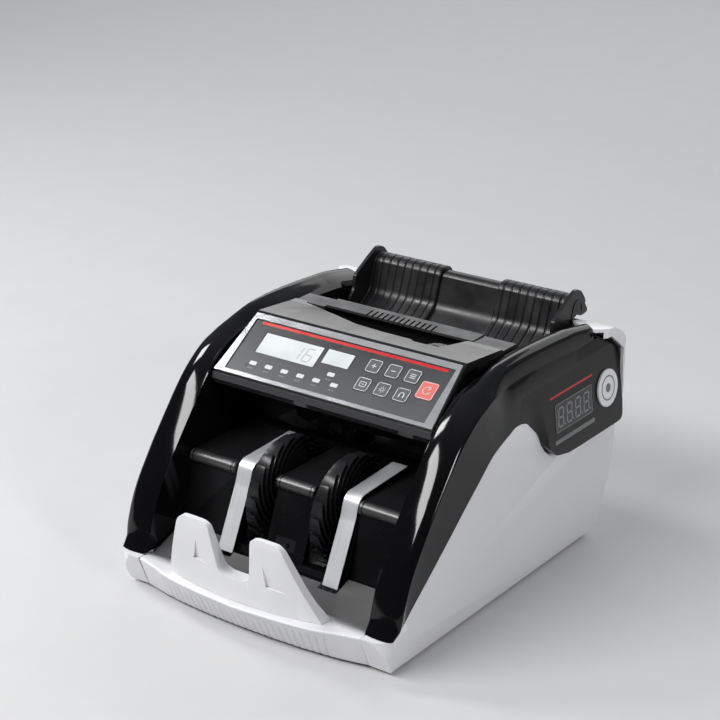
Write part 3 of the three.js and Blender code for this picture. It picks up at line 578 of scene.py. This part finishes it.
# How the pod comes out of the case's side in front, as (x, y).
RAMP = [(124.6, 34), (125, 40), (126, 46), (127.6, 51), (129.6, 54.5), (132.4, 57.5), (140, 61)]


def pod_body():
    """The display pod: its face leans in, its top edge is chamfered and a ramp leads up to it."""
    body = prism("x", filleted(POD, 2.5, 3), SIDE - 6, 140)
    outline = [(100, 15), (SIDE, 15)] + spline(RAMP, 5) + [(140, 190), (100, 190)]
    ramp = prism("z", outline, 60, 200)
    combined(body, [ramp], "INTERSECT")
    sliced(body, POD_MIDDLE, (math.cos(POD_TILT), 0, math.sin(POD_TILT)))
    sliced(body, (124.2, 93, 156.6), (0.97, 0, 0.26))
    return body


def display_frame(y, h, n):
    """A point on the pod's face: y to the back, h up the face and n out of it."""
    x, y0, z0 = POD_MIDDLE
    return mm(x - h * math.sin(POD_TILT) + n * math.cos(POD_TILT), y0 + y,
              z0 + h * math.cos(POD_TILT) + n * math.sin(POD_TILT))


def on_panel(x, v, n):
    """A point on the control panel: v up the slope from its middle and n out of it."""
    y0, z0 = PANEL_MIDDLE
    c, s = math.cos(PANEL_TILT), math.sin(PANEL_TILT)
    return mm(x, y0 + v * c - n * s, z0 + v * s + n * c)


def marked(name, shapes, to_point, low, high, material, body="machine", width=0):
    """Thin raised shapes on a face, each a closed outline in the face's own coordinates."""
    points, faces = [], []
    for shape in shapes:
        start, count = len(points), len(shape)
        points += [to_point(a, b, n) for n in (low, high) for a, b in shape]
        faces.append([start + i for i in range(count)])
        faces.append([start + count + i for i in range(count)])
        for i in range(count):
            j = (i + 1) % count
            faces.append([start + i, start + j, start + count + j, start + count + i])
    finished(mesh_object(name, points, faces), name, material, body, width)


def rounded(x0, x1, y0, y1, r, steps=5):
    """A rectangle with round corners."""
    quarters = [(x1 - r, y1 - r), (x0 + r, y1 - r), (x0 + r, y0 + r), (x1 - r, y0 + r)]
    return [p for i, (cx, cy) in enumerate(quarters)
            for p in circle(cx, cy, r, steps, i * math.pi / 2, math.pi / 2)]


def bar(x0, y0, x1, y1, width):
    """A straight stroke with square ends."""
    length = math.hypot(x1 - x0, y1 - y0)
    u, v = -(y1 - y0) / length * width / 2, (x1 - x0) / length * width / 2
    return [(x0 + u, y0 + v), (x0 - u, y0 - v), (x1 - u, y1 - v), (x1 + u, y1 + v)]


def frame_lines(x0, x1, y0, y1, width, r):
    """A closed line round a rectangle with round corners, as short strokes."""
    outer = rounded(x0, x1, y0, y1, r)
    return [bar(*a, *b, width) for a, b in zip(outer, outer[1:] + outer[:1])]


SEGMENTS = {
    "top": (0, 1, 1, 1), "middle": (0, 0.5, 1, 0.5), "bottom": (0, 0, 1, 0),
    "upper_left": (0, 0.5, 0, 1), "upper_right": (1, 0.5, 1, 1),
    "lower_left": (0, 0, 0, 0.5), "lower_right": (1, 0, 1, 0.5),
}
DIGIT_SEGMENTS = {
    "8": tuple(SEGMENTS),
    "1": ("upper_right", "lower_right"),
    "6": ("top", "middle", "bottom", "upper_left", "lower_left", "lower_right"),
}


def digit(figure, x, y, width, height, stroke, slant=0.1):
    """A seven-segment digit made of pointed strokes."""
    shapes = []
    for key in DIGIT_SEGMENTS[figure]:
        x0, y0, x1, y1 = SEGMENTS[key]
        a = Vector((x0 * width, y0 * height))
        b = Vector((x1 * width, y1 * height))
        run = (b - a).normalized()
        side = Vector((-run.y, run.x)) * stroke / 2
        a, b = a + run * stroke * 0.16, b - run * stroke * 0.16
        tip = run * stroke / 2
        outline = [a, a + tip - side, b - tip - side, b, b - tip + side, a + tip + side]
        shapes.append([(x + p.x + p.y * slant, y + p.y) for p in outline])
    return shapes


def filleted(points, radius, steps=5, closed=True):
    """An outline with its corners rounded; radius is how far before a corner the curve starts."""
    line, count = [], len(points)
    for i, corner in enumerate(map(Vector, points)):
        reach = radius[i] if isinstance(radius, (list, tuple)) else radius
        if reach == 0 or (not closed and i in (0, count - 1)):
            line.append(tuple(corner))
            continue
        back = Vector(points[i - 1]) - corner
        ahead = Vector(points[(i + 1) % count]) - corner
        reach = min(reach, 0.48 * back.length, 0.48 * ahead.length)
        a, b = corner + back.normalized() * reach, corner + ahead.normalized() * reach
        for k in range(steps + 1):
            t = k / steps
            line.append(tuple(a * (1 - t) ** 2 + corner * (2 * t * (1 - t)) + b * t * t))
    return line


def gathered(objects, name):
    """Several mesh objects as one."""
    work = bmesh.new()
    for obj in objects:
        work.from_mesh(obj.data)
        bpy.data.objects.remove(obj)
    mesh = bpy.data.meshes.new(name)
    work.to_mesh(mesh)
    work.free()
    return placed(name, mesh)


def turned(profile, centre, axis, count=48):
    """A body of revolution: the profile runs from pole to pole, as (radius, place on the axis)."""
    across = {"x": (UNIT_Y, UNIT_Z, UNIT_X), "y": (UNIT_Z, UNIT_X, UNIT_Y),
              "z": (UNIT_X, UNIT_Y, UNIT_Z)}[axis]
    rows = []
    for radius, height in profile:
        rows.append([mm(*(Vector(centre) + across[0] * u + across[1] * v + across[2] * height))
                     for u, v in circle(0, 0, radius, count)])
    return grid_surface("turned", rows, closed_rows=True)


# ---- white case ---------------------------------------------------------------------------------
LIP_BACK = -134.8
LIP = {"half": 102.9, "columns": 430, "rows": 24, "top": 24.4, "round": 1.6}
# The back of the case from top to bottom, as (y, z).
BACK = [(163, 90.7), (166.5, 92.7), (166.5, 56), (164, 50), (151, 23.5), (137, 0)]
# The bow of the lip's top and bottom edges, as (x, y).
LIP_TOP = [(0, -164.6), (28, -162.7), (50, -160.5), (70, -157), (85, -152), (103, -147.5)]
LIP_BOTTOM = [(0, -148.3), (28, -147.8), (50, -146.5), (70, -144.5), (85, -142), (103, -138)]
RIBS = {"half": 78, "top": 21, "first": 0, "pitch": 6, "slant": 0.158, "width": 0.65, "depth": 0.9}


def lower_case():
    """The white case: a shell cut out for the lip, the fenders' feet, the inlet and the switch."""
    shoulder = [(y, z - GAP) for y, z in spline(SHOULDER, 9)]
    body = prism("x", [(-138, 0), (CASE_FRONT, 26.2)] + shoulder + BACK, -SIDE, SIDE)
    inside = [(-131.8, 3), (-131.8, 200), (163.5, 200), (163.5, 56.5), (161, 51), (148.5, 25),
              (135.5, 3)]
    corner = filleted([(-130, -120), (-130, -170), (-100, -170), (-103.4, -149.6), (-117, -147.4),
                       (-SIDE, -141), (-SIDE, -120)], [0, 0, 0, 0, 8, 9, 0])
    other = [(-x, y) for x, y in corner]
    draft = [(SIDE + 1, -1), (SIDE + 1, 24), (SIDE - 3, -1)]
    tools = [
        prism("x", inside, CASE_WALL - SIDE, SIDE - CASE_WALL),
        block(-103.4, 103.4, -200, LIP_BACK + GAP, -1, 60),
        block(-103.4, 103.4, LIP_BACK, -125, 22.5, 60),
        block(CASE_WALL - SIDE, SIDE - CASE_WALL, -139, -125, 26.2, 200),
        prism("z", corner, -1, 27), prism("z", other, -1, 27),
        prism("y", draft, -170, 190), prism("y", [(-x, z) for x, z in draft], -170, 190),
        block(-84, -56, 150, 170, 62, 82), block(-46, -32, 150, 170, 62, 82),
    ]
    combined(body, tools)
    finished(body, "case_shell", "white", "machine", 0.7, ["lower_case"])


def rib_groove(x, z):
    """How deep the slanted grooves are at a point of the lip's front."""
    if z > RIBS["top"] or abs(x) > RIBS["half"]:
        return 0.0
    fade = min(1.0, (RIBS["top"] - z) / 2.5, (RIBS["half"] - abs(x)) / 2)
    return groove(x - z * RIBS["slant"], RIBS) * fade


def front_lip():
    """The bowed shelf: a fine grid, so that the ribs are real grooves."""
    rows = []
    upper, lower = spline(LIP_TOP, 6), spline(LIP_BOTTOM, 6)
    for i in range(LIP["columns"] + 1):
        x = -LIP["half"] + 2 * LIP["half"] * i / LIP["columns"]
        top, bottom = looked_up(upper, abs(x)), looked_up(lower, abs(x))
        ring = []
        for k in range(LIP["rows"] + 1):
            z = LIP["top"] * k / LIP["rows"]
            ring.append((x, bottom + (top - bottom) * z / LIP["top"] + rib_groove(x, z), z))
        r = LIP["round"]
        edge = [(x, top + r * (1 - math.cos(a)), LIP["top"] + r * math.sin(a))
                for a in (0.5, 1.0, math.pi / 2)]
        shelf = [(x, -145, 26), (x, LIP_BACK, 26), (x, LIP_BACK, 0)]
        rows.append([mm(*p) for p in ring + edge + shelf])
    lip = grid_surface("lip", rows, closed_rows=True)
    finished(lip, "lip_moulding", "white", "machine", 0, ["front_lip"])


# The stopper leans forward over its rise and bows back towards its ends, most at its base.
STOPPER = {"front": -158.5, "lean": 6.1, "bow": 10, "half": 72, "base": 26.3, "top": 79,
           "rise": 52.7}
DENTS = [   # each dent: three corners as (x, z, depth), deepest at the lower left one
    [(28.5, 66, 0), (28.5, 47, 2.6), (46, 46.6, 0)],
    [(-32.4, 69, 0), (-37.9, 51, 2.6), (-22, 50.6, 0)],
]


def stopper_face(x, z):
    """The y of the stopper's front face."""
    lean = STOPPER["lean"] * (z - STOPPER["base"]) / STOPPER["rise"]
    bow = STOPPER["bow"] * (x / STOPPER["half"]) ** 2
    return STOPPER["front"] - lean + bow * max(0, (STOPPER["top"] - z) / STOPPER["rise"])


def stopper():
    """The two-fingered stopper: a bowed, leaning plate cut to its front outline."""
    half = [(70.5, 26.2), (47.6, 82.2), (43.5, 85.5), (25, 85.4), (19.6, 83.6), (14.6, 49),
            (9.5, 45.6)]
    radii = [0, 8, 5, 6, 7, 6, 5]
    face = filleted(half + [(-x, z) for x, z in half[::-1]], radii + radii[::-1])
    rows = []
    for x in range(-STOPPER["half"], STOPPER["half"] + 1, 3):
        bow = STOPPER["bow"] * (x / STOPPER["half"]) ** 2
        section = [(STOPPER["front"] + bow, 26.3), (-164.6, 79), (-164.6, 90), (-160.2, 90),
                   (-160.2, 84), (-152, 54), (-147.5, 42), (-139, 26.3)]
        rows.append([mm(x, y, z) for y, z in section])
    plate = grid_surface("plate", rows, closed_rows=True)
    combined(plate, [prism("y", face, -180, -120)], "INTERSECT")
    for corners in DENTS:
        back = [mm(x, stopper_face(x, z) + depth, z) for x, z, depth in corners]
        front = [mm(x, -180, z) for x, z, depth in corners]
        combined(plate, [grid_surface("dent", [front, back], closed_rows=True)])
    finished(plate, "stopper_fingers", "stopper", "machine", 1.5,
             ["front_stopper"], 4)


def round_screw(name, x, y, z, axis, facing):
    """A pan-head screw with a cross recess, standing on a face that looks along the axis."""
    radius = 2.6
    profile = [(0.01, 1.5), (radius * 0.5, 1.45), (radius * 0.85, 1.1), (radius, 0.4),
               (radius, -0.4), (0.01, -0.4)]
    head = turned([(r, h * facing) for r, h in profile], (x, y, z), axis, 32)
    low, high = sorted((0.7 * facing, 2 * facing))
    reach, half = radius * 0.62, 0.38
    u, v, base = {"y": (x, z, y), "z": (x, y, z)}[axis]
    slots = [prism(axis, rectangle(u - a, u + a, v - b, v + b), base + low, base + high)
             for a, b in ((reach, half), (half, reach))]
    combined(head, slots)
    finished(head, name, "steel", "machine", 0.12, segments=2)


# ---- hopper -------------------------------------------------------------------------------------
ROLL = [(142.5, 184.5), (145.2, 187.4), (150, 188.2), (155, 186.5), (157.6, 182.5), (158, 178)]
FOLD = filleted([(104, 140.54), (134, 160), (142.5, 184.5)], 6, 6, closed=False)
# Across a note guide: its ribs, and the sheet they are cut in.
GUIDE_RIBS = {"pitch": 7.4, "first": 33, "width": 0.55, "depth": 0.9}
SHEET = {"inner": 27.5, "across": 66.5, "columns": 200, "under": 0.45, "top": 2.9, "round": 1.2}
FIN = [
    (113.5, 179.8), (119.2, 183.6), (132.1, 190.8), (139.3, 194.7), (144.3, 196.9), (148.7, 196.7),
    (153.8, 194.4), (157.5, 190.2), (160.6, 186.1), (161.5, 184.1), (160.4, 182.6), (163.6, 178.4),
    (164.9, 175), (161.7, 173.6), (154, 173.4), (150, 176.5), (139.3, 172.5), (134, 161.2),
    (98, 137.2), (106.4, 163.1), (109.3, 166.3), (112, 169),
]


def hopper_line(start):
    """The tray's upper face from its start over the fold, up the back and over the rolled edge."""
    return [start] + FOLD[1:-1] + spline(ROLL, 6)


def hopper():
    """The tray with its rolled edge and the openings over the pickup rollers, and both guides."""
    tray = prism("x", thick_line(hopper_line((62, 113.3)), -3, 0), -96.5, 96.5)
    combined(tray, [block(x - 9.5, x + 9.5, 68, 99, 100, 150) for x in (-30, 30)])
    finished(tray, "hopper_sheet", "black", "machine", 0.5, ["hopper_tray"])
    for side in ("right", "left"):
        note_guide(side)


def note_guide(side):
    """A ribbed saddle over the tray's back wall, with a fin at its outer end."""
    sign = 1 if side == "right" else -1
    line = hopper_line((104, 140.54))[:-1]
    rows = []
    for i in range(SHEET["columns"] + 1):
        x = SHEET["inner"] + SHEET["across"] * i / SHEET["columns"]
        skin = SHEET["top"] - groove(x, GUIDE_RIBS)
        skin -= max(0.0, 1 - (x - SHEET["inner"]) / SHEET["round"]) ** 2
        rows.append([mm(sign * x, y, z) for y, z in thick_line(line, SHEET["under"], skin)])
    sheet = grid_surface("sheet", rows, closed_rows=True)
    finished(sheet, side + "_guide_sheet", "black", side + "_guide", 0,
             [side + "_note_guide"])
    fin = prism("x", filleted(FIN, 1.6, 3), *sorted((sign * 93, sign * 96)))
    finished(fin, side + "_guide_fin", "black", side + "_guide", 0.5)


# ---- stacker ------------------------------------------------------------------------------------
STRIP_LINE = [
    (-111.5, 33), (-100.3, 56.3), (-92, 73.6), (-89.2, 79.5), (-87, 86.5), (-84.6, 92),
    (-80, 95.2), (-72, 95.9), (-50, 97), (-24, 98.3),
]
BEAD = (-84, 88.6)      # the rolled edge's middle, as (y, z)


def guide_strip(side):
    """A bent metal strip that leads the notes from the back plate to the floor."""
    sign = 1 if side == "right" else -1
    strip = prism("x", thick_line(spline(STRIP_LINE, 7), -0.4, 0.4), sign * 42.3, sign * 55.9)
    finished(strip, side + "_bent_strip", "strip_steel", "machine", 0.2,
             [side + "_guide_strip"], 2)


def blade(centre, start):
    """One finger of a wheel: it sweeps back round the hub and narrows towards its tip."""
    rows = []
    bend, sweep, taper, wall, steps = 1.25, 1.95, 0.62, 0.4, 16
    for i in range(steps + 1):
        t = i / steps
        reach = math.sin(bend * t) / math.sin(bend)
        radius = WHEEL["hub"] - 1 + (WHEEL["radius"] - WHEEL["hub"] + 1) * reach
        angle = start - sweep * t
        half = WHEEL["width"] / 2 * (1 - taper * t ** 3)
        rows.append([mm(centre + x, WHEEL["y"] + (radius + r) * math.cos(angle),
                        WHEEL["z"] + (radius + r) * math.sin(angle))
                     for x, r in ((-half, -wall), (half, -wall), (half, wall), (-half, wall))])
    return grid_surface("blade", rows, closed_rows=True)


def impeller(side):
    """A hub with thin fingers that trail the rotation, so their tips point up at the front."""
    centre = WHEEL["x"] * (1 if side == "right" else -1)
    turn = math.tau / WHEEL["blades"]
    blades = [blade(centre, k * turn) for k in range(WHEEL["blades"])]
    reach = WHEEL["width"] / 2
    half = [(4.3, reach), (WHEEL["hub"] - 0.8, reach), (WHEEL["hub"], reach - 0.8)]
    rim = [(r, -x) for r, x in half] + half[::-1]
    hub = turned(rim, (centre, WHEEL["y"], WHEEL["z"]), "x")
    wheel = gathered(blades + [hub], "wheel")
    finished(wheel, side + "_vaned_wheel", "wheel", "impeller", 0,
             [side + "_impeller_wheel"])


def bead(name, x0, x1):
    """The rolled top edge of the back plate, with a turned-down collar at each end."""
    end = [(0.01, 0), (4.4, 0), (5.1, 0.8), (5.1, 2.2), (4.75, 2.8), (4.75, 3.4), (5.1, 3.9)]
    profile = [(r, x0 + d) for r, d in end] + [(r, x1 - d) for r, d in end[::-1]]
    roll = turned(profile, (0, *BEAD), "x", 56)
    finished(roll, name, "bead", "machine", 0)


# ---- printed marks ------------------------------------------------------------------------------
FILM, KEY_TOP, GLASS = -0.82, -0.52, -1.02      # faces of the panel, measured out of its plane
LAMPS = [(-71, -15), (-56, -15), (-41, -15), (-26, -15), (-11, -15), (-2.2, -7), (5.4, -15)]
KEYS = {
    "key_plus": (27.4, 9.3), "key_minus": (44.9, 9.3), "key_batch": (62.1, 9.4),
    "key_add": (27.4, -7.8), "key_uv": (44.8, -7.8), "key_mg": (62.1, -7.9),
    "key_reset": (79.2, 0.9),
}


def ring(x, y, radius, width, start=0, turn=math.tau, count=20):
    """Strokes along a circle or an arc."""
    points = circle(x, y, radius, count, start, turn)
    if turn == math.tau:
        points.append(points[0])
    return [bar(*a, *b, width) for a, b in zip(points, points[1:])]


def key_symbol(key, x, v):
    """A generic pictogram for each key."""
    if key == "key_plus":
        return [bar(x - 2, v, x + 2, v, 0.7), bar(x, v - 2, x, v + 2, 0.7)]
    if key == "key_minus":
        return [bar(x - 2, v, x + 2, v, 0.7)]
    if key == "key_batch":
        return [bar(x - 2.4, v + d, x + 2.4, v + d, 0.6) for d in (-1.6, 0, 1.6)]
    if key == "key_add":
        tray = frame_lines(x - 2.6, x + 2.6, v - 2, v + 2, 0.5, 0.6)
        return tray + [bar(x - 1.2, v, x + 1.2, v, 0.5)]
    if key == "key_uv":
        rays = [(math.cos(a), math.sin(a)) for a in [i * math.pi / 4 for i in range(8)]]
        return ring(x, v, 1.3, 0.5) + [
            bar(x + 2 * c, v + 2 * s, x + 2.9 * c, v + 2.9 * s, 0.45) for c, s in rays]
    if key == "key_mg":
        legs = [bar(x + s * 1.8, v - 2.4, x + s * 1.8, v + 0.2, 0.9) for s in (-1, 1)]
        return ring(x, v + 0.2, 1.8, 0.9, 0, math.pi, 12) + legs
    return ring(x, v, 3.2, 0.8, math.radians(60), math.radians(290)) + [
        bar(x + 0.2, v + 3.9, x + 2.3, v + 2.5, 0.8), bar(x + 2.3, v + 2.5, x + 0.9, v + 1.2, 0.8)]


def panel_print():
    """The stripe, lamp windows, key borders and symbols of the control panel."""
    stripe = [rounded(-85, 86, 20, 22.6, 0.3, 2)]
    marked("panel_stripe", stripe, on_panel, FILM, FILM + 0.08, "red")
    lamps, labels = [], []
    for x, v in LAMPS:
        lamps.append(rounded(x - 3.2, x + 3.2, v - 1.7, v + 1.7, 0.8))
        labels += [bar(x + a, v - 4.6, x + b, v - 4.6, 1.1) for a, b in ((-2.6, -0.4), (0.3, 2.2))]
    marked("lamp_windows", lamps, on_panel, FILM, FILM + 0.16, "print", width=0.12)
    marked("lamp_labels", labels, on_panel, FILM, FILM + 0.05, "print_grey")
    for key, (x, v) in KEYS.items():
        a, b = (7.2, 7.6) if key == "key_reset" else (5.9, 5.9)
        border = frame_lines(x - a + 0.5, x + a - 0.5, v - b + 0.5, v + b - 0.5, 0.5, 1.4)
        marks = border + key_symbol(key, x, v)
        marked(key + "_marks", marks, on_panel, KEY_TOP, KEY_TOP + 0.08, "print",
               key + "_cap")
    displays = {"main": (-76, -20.5, -5.3, 14), "small": (-17, 8, 0.7, 14.2)}
    for name, (x0, x1, v0, v1) in displays.items():
        border = frame_lines(x0 - 0.2, x1 + 0.2, v0 - 0.2, v1 + 0.2, 0.7, 0.8)
        marked(name + "_display_border", border, on_panel, -1.1, -0.7, "black")
    figures = digit("1", -44, -2.2, 6, 12, 1.3) + digit("6", -34, -2.2, 6.6, 12, 1.3)
    marked("display_figures", figures, on_panel, GLASS, GLASS + 0.06, "lcd_digit")


def pod_print():
    """The extra display's four figures, its frame, the stripe above and the bar below."""
    outline = frame_lines(-26.6, 26.6, -10.9, 10.9, 0.5, 0.8)
    figures = []
    for k in range(4):
        x = -23.4 + k * 12.6
        figures += digit("8", x, -7.4, 7.2, 14.4, 1.6, 0.06)
        figures.append(circle(x + 9.7, -7.2, 0.9, 12))
    marked("side_figures", outline + figures, display_frame, 0.28, 0.36, "digit")
    stripe = [rounded(-33, 29.5, 17.2, 18.9, 0.4, 3)]
    marked("side_stripe", stripe, display_frame, -0.02, 0.08, "red")
    under = [rounded(-29, 30, -20.2, -16.8, 0.8, 3)]
    marked("side_bar", under, display_frame, -0.02, 0.12, "print_grey")
    badge = ring(50, 1, 9.6, 1.1, count=40) + [circle(50, 1, 3.6, 28)]
    marked("badge_ring", badge, display_frame, 1.7, 1.9, "print_grey")


# ---- assembly -----------------------------------------------------------------------------------
def fenders():
    """Each fender's skin, the pocket's side wall under it and its display pod."""
    for side in ("right", "left"):
        skin, wall, pod = fender_skin(), cheek_wall(), pod_body()
        pieces = {"fender": (skin, 0.45), "cheek": (wall, 0.3), "pod": (pod, 1.2)}
        for key, (piece, width) in pieces.items():
            if side == "left":
                mirror(piece)
            hidden = [side + "_arch_cover"] if key == "fender" else []
            finished(piece, f"{side}_{key}", "gloss", "machine", width, hidden)


def kept_nodes():
    """CAD nodes whose shape is right: they get a material and rounded edges."""
    looks = {
        "rear_cover": ("white", 0.6), "control_hood": ("gloss", 0.5),
        "throat_plate": ("black", 0.25), "right_throat_end": ("black", 0.4),
        "left_throat_end": ("black", 0.4),
        "thickness_knob": ("black", 0.3), "panel_bezel": ("silver", 0.35),
        "membrane_panel": ("film", 0.0), "lcd_main": ("lcd", 0.15), "lcd_small": ("lcd", 0.15),
        "key_reset": ("key_red", 0.25), "stacker_floor": ("floor", 0.3),
        "stacker_back_plate": ("stacker", 0.4), "sensor_window": ("bright_black", 0.2),
        "side_display_window": ("bright_black", 0.15), "side_badge": ("stopper", 0.5),
        "power_inlet": ("black", 0.3), "power_switch": ("bright_black", 0.4),
        "feed_drum": ("roller", 0.6), "right_pickup_roller": ("roller", 0.6),
        "left_pickup_roller": ("roller", 0.6), "control_board": ("board", 0.1),
        "mainboard": ("board", 0.1),
    }
    rubbers = ("foot_1", "foot_2", "foot_3", "foot_4", "stacker_belt", "feed_belt", "pickup_belt")
    pulleys = ("impeller_pulley", "stacker_motor_pulley", "feed_pulley", "main_motor_pulley")
    metals = ("impeller_shaft", "feed_shaft", "pickup_shaft", "stacker_motor", "main_motor",
              "transformer", "right_side_frame", "left_side_frame")
    looks.update({n: ("rubber", 0.3) for n in rubbers})
    looks.update({n: ("black", 0.2) for n in pulleys})
    looks.update({n: ("steel", 0.3) for n in metals})
    looks.update({n: ("key", 0.25) for n in KEYS if n != "key_reset"})
    for node, (material, width) in looks.items():
        smooth_edges(paint(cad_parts[node], material), width)


def camera():
    """The photograph's view: from the front right, a little above, through a long lens."""
    data = bpy.data.cameras.new("camera")
    data.lens = 95.3
    data.sensor_width = 36
    data.clip_end = 50
    obj = placed("camera", data)
    obj.location = (0.7873, -1.088, 0.687)
    azimuth, elevation = math.radians(36.21), math.radians(21.28)
    level = math.cos(elevation)
    ahead = Vector((-math.sin(azimuth) * level, math.cos(azimuth) * level, -math.sin(elevation)))
    obj.rotation_euler = ahead.to_track_quat("-Z", "Y").to_euler()
    bpy.context.scene.camera = obj


def area_light(name, place, target, size, power):
    """A softbox, size across by size up in metres, that faces the target."""
    data = bpy.data.lights.new(name, "AREA")
    data.shape = "RECTANGLE"
    data.size, data.size_y = size
    data.energy = power
    obj = placed(name, data)
    obj.location = place
    obj.rotation_euler = (Vector(target) - Vector(place)).to_track_quat("-Z", "Y").to_euler()


def sky(world):
    """Dim in front and beside, so that gloss stays black, and brighter behind and overhead."""
    tree = world.node_tree
    place = tree.nodes.new("ShaderNodeTexCoord")
    split = tree.nodes.new("ShaderNodeSeparateXYZ")
    tree.links.new(place.outputs["Generated"], split.inputs["Vector"])
    lift = tree.nodes.new("ShaderNodeMath")
    lift.operation = "MULTIPLY_ADD"
    lift.inputs[1].default_value = 0.7
    tree.links.new(split.outputs["Y"], lift.inputs[0])
    tree.links.new(split.outputs["Z"], lift.inputs[2])
    amount = ranged(tree, lift.outputs[0], 0, 1, 0.25, 1.0)
    colour = mixed(tree, amount, (0.1, 0.1, 0.11), (0.78, 0.8, 0.84))
    tree.links.new(colour, tree.nodes["Background"].inputs["Color"])
    tree.nodes["Background"].inputs["Strength"].default_value = 0.5


def studio():
    """A pale floor, a soft sky and four softboxes."""
    floor = grid_surface("floor", [[Vector((x, y, 0)) for x in (-9, 9)] for y in (-9, 9)])
    paper = plastic("floor_paper", (0.6, 0.6, 0.6), 0.75, 0.05, (1.5, 0.02), 0.01)
    floor.data.materials.append(paper)
    world = bpy.data.worlds.new("studio")
    world.use_nodes = True
    sky(world)
    bpy.context.scene.world = world
    middle = (0, -0.05, 0.1)
    area_light("key", (-0.7, -1.25, 1.5), middle, (1.7, 0.3), 36)
    area_light("left", (-1.6, -0.1, 1.5), middle, (0.4, 0.45), 13)
    area_light("side", (2.0, -0.5, 1.15), middle, (0.3, 0.5), 11)
    area_light("back", (-0.3, 2.7, 1.45), middle, (5.0, 1.2), 31)
    bpy.context.scene.view_settings.view_transform = "Standard"


fenders()
lower_case()
front_lip()
stopper()
hopper()
for side in ("right", "left"):
    guide_strip(side)
    impeller(side)
bead("bead_left", -101.9, -57.7)
bead("bead_middle", -17.3, 17.3)
bead("bead_right", 57.7, 101.9)
kept_nodes()
panel_print()
pod_print()
for i, (x, z) in enumerate([(-112, 80), (112, 80), (-112, 64), (112, 64)]):
    round_screw(f"rear_screw_{i + 1}", x, 166.5, z, "y", 1)
for i, (x, y) in enumerate([(-70, -100), (70, -100), (-70, 110), (70, 110)]):
    round_screw(f"base_screw_{i + 1}", x, y, 0.2, "z", -1)
camera()
studio()
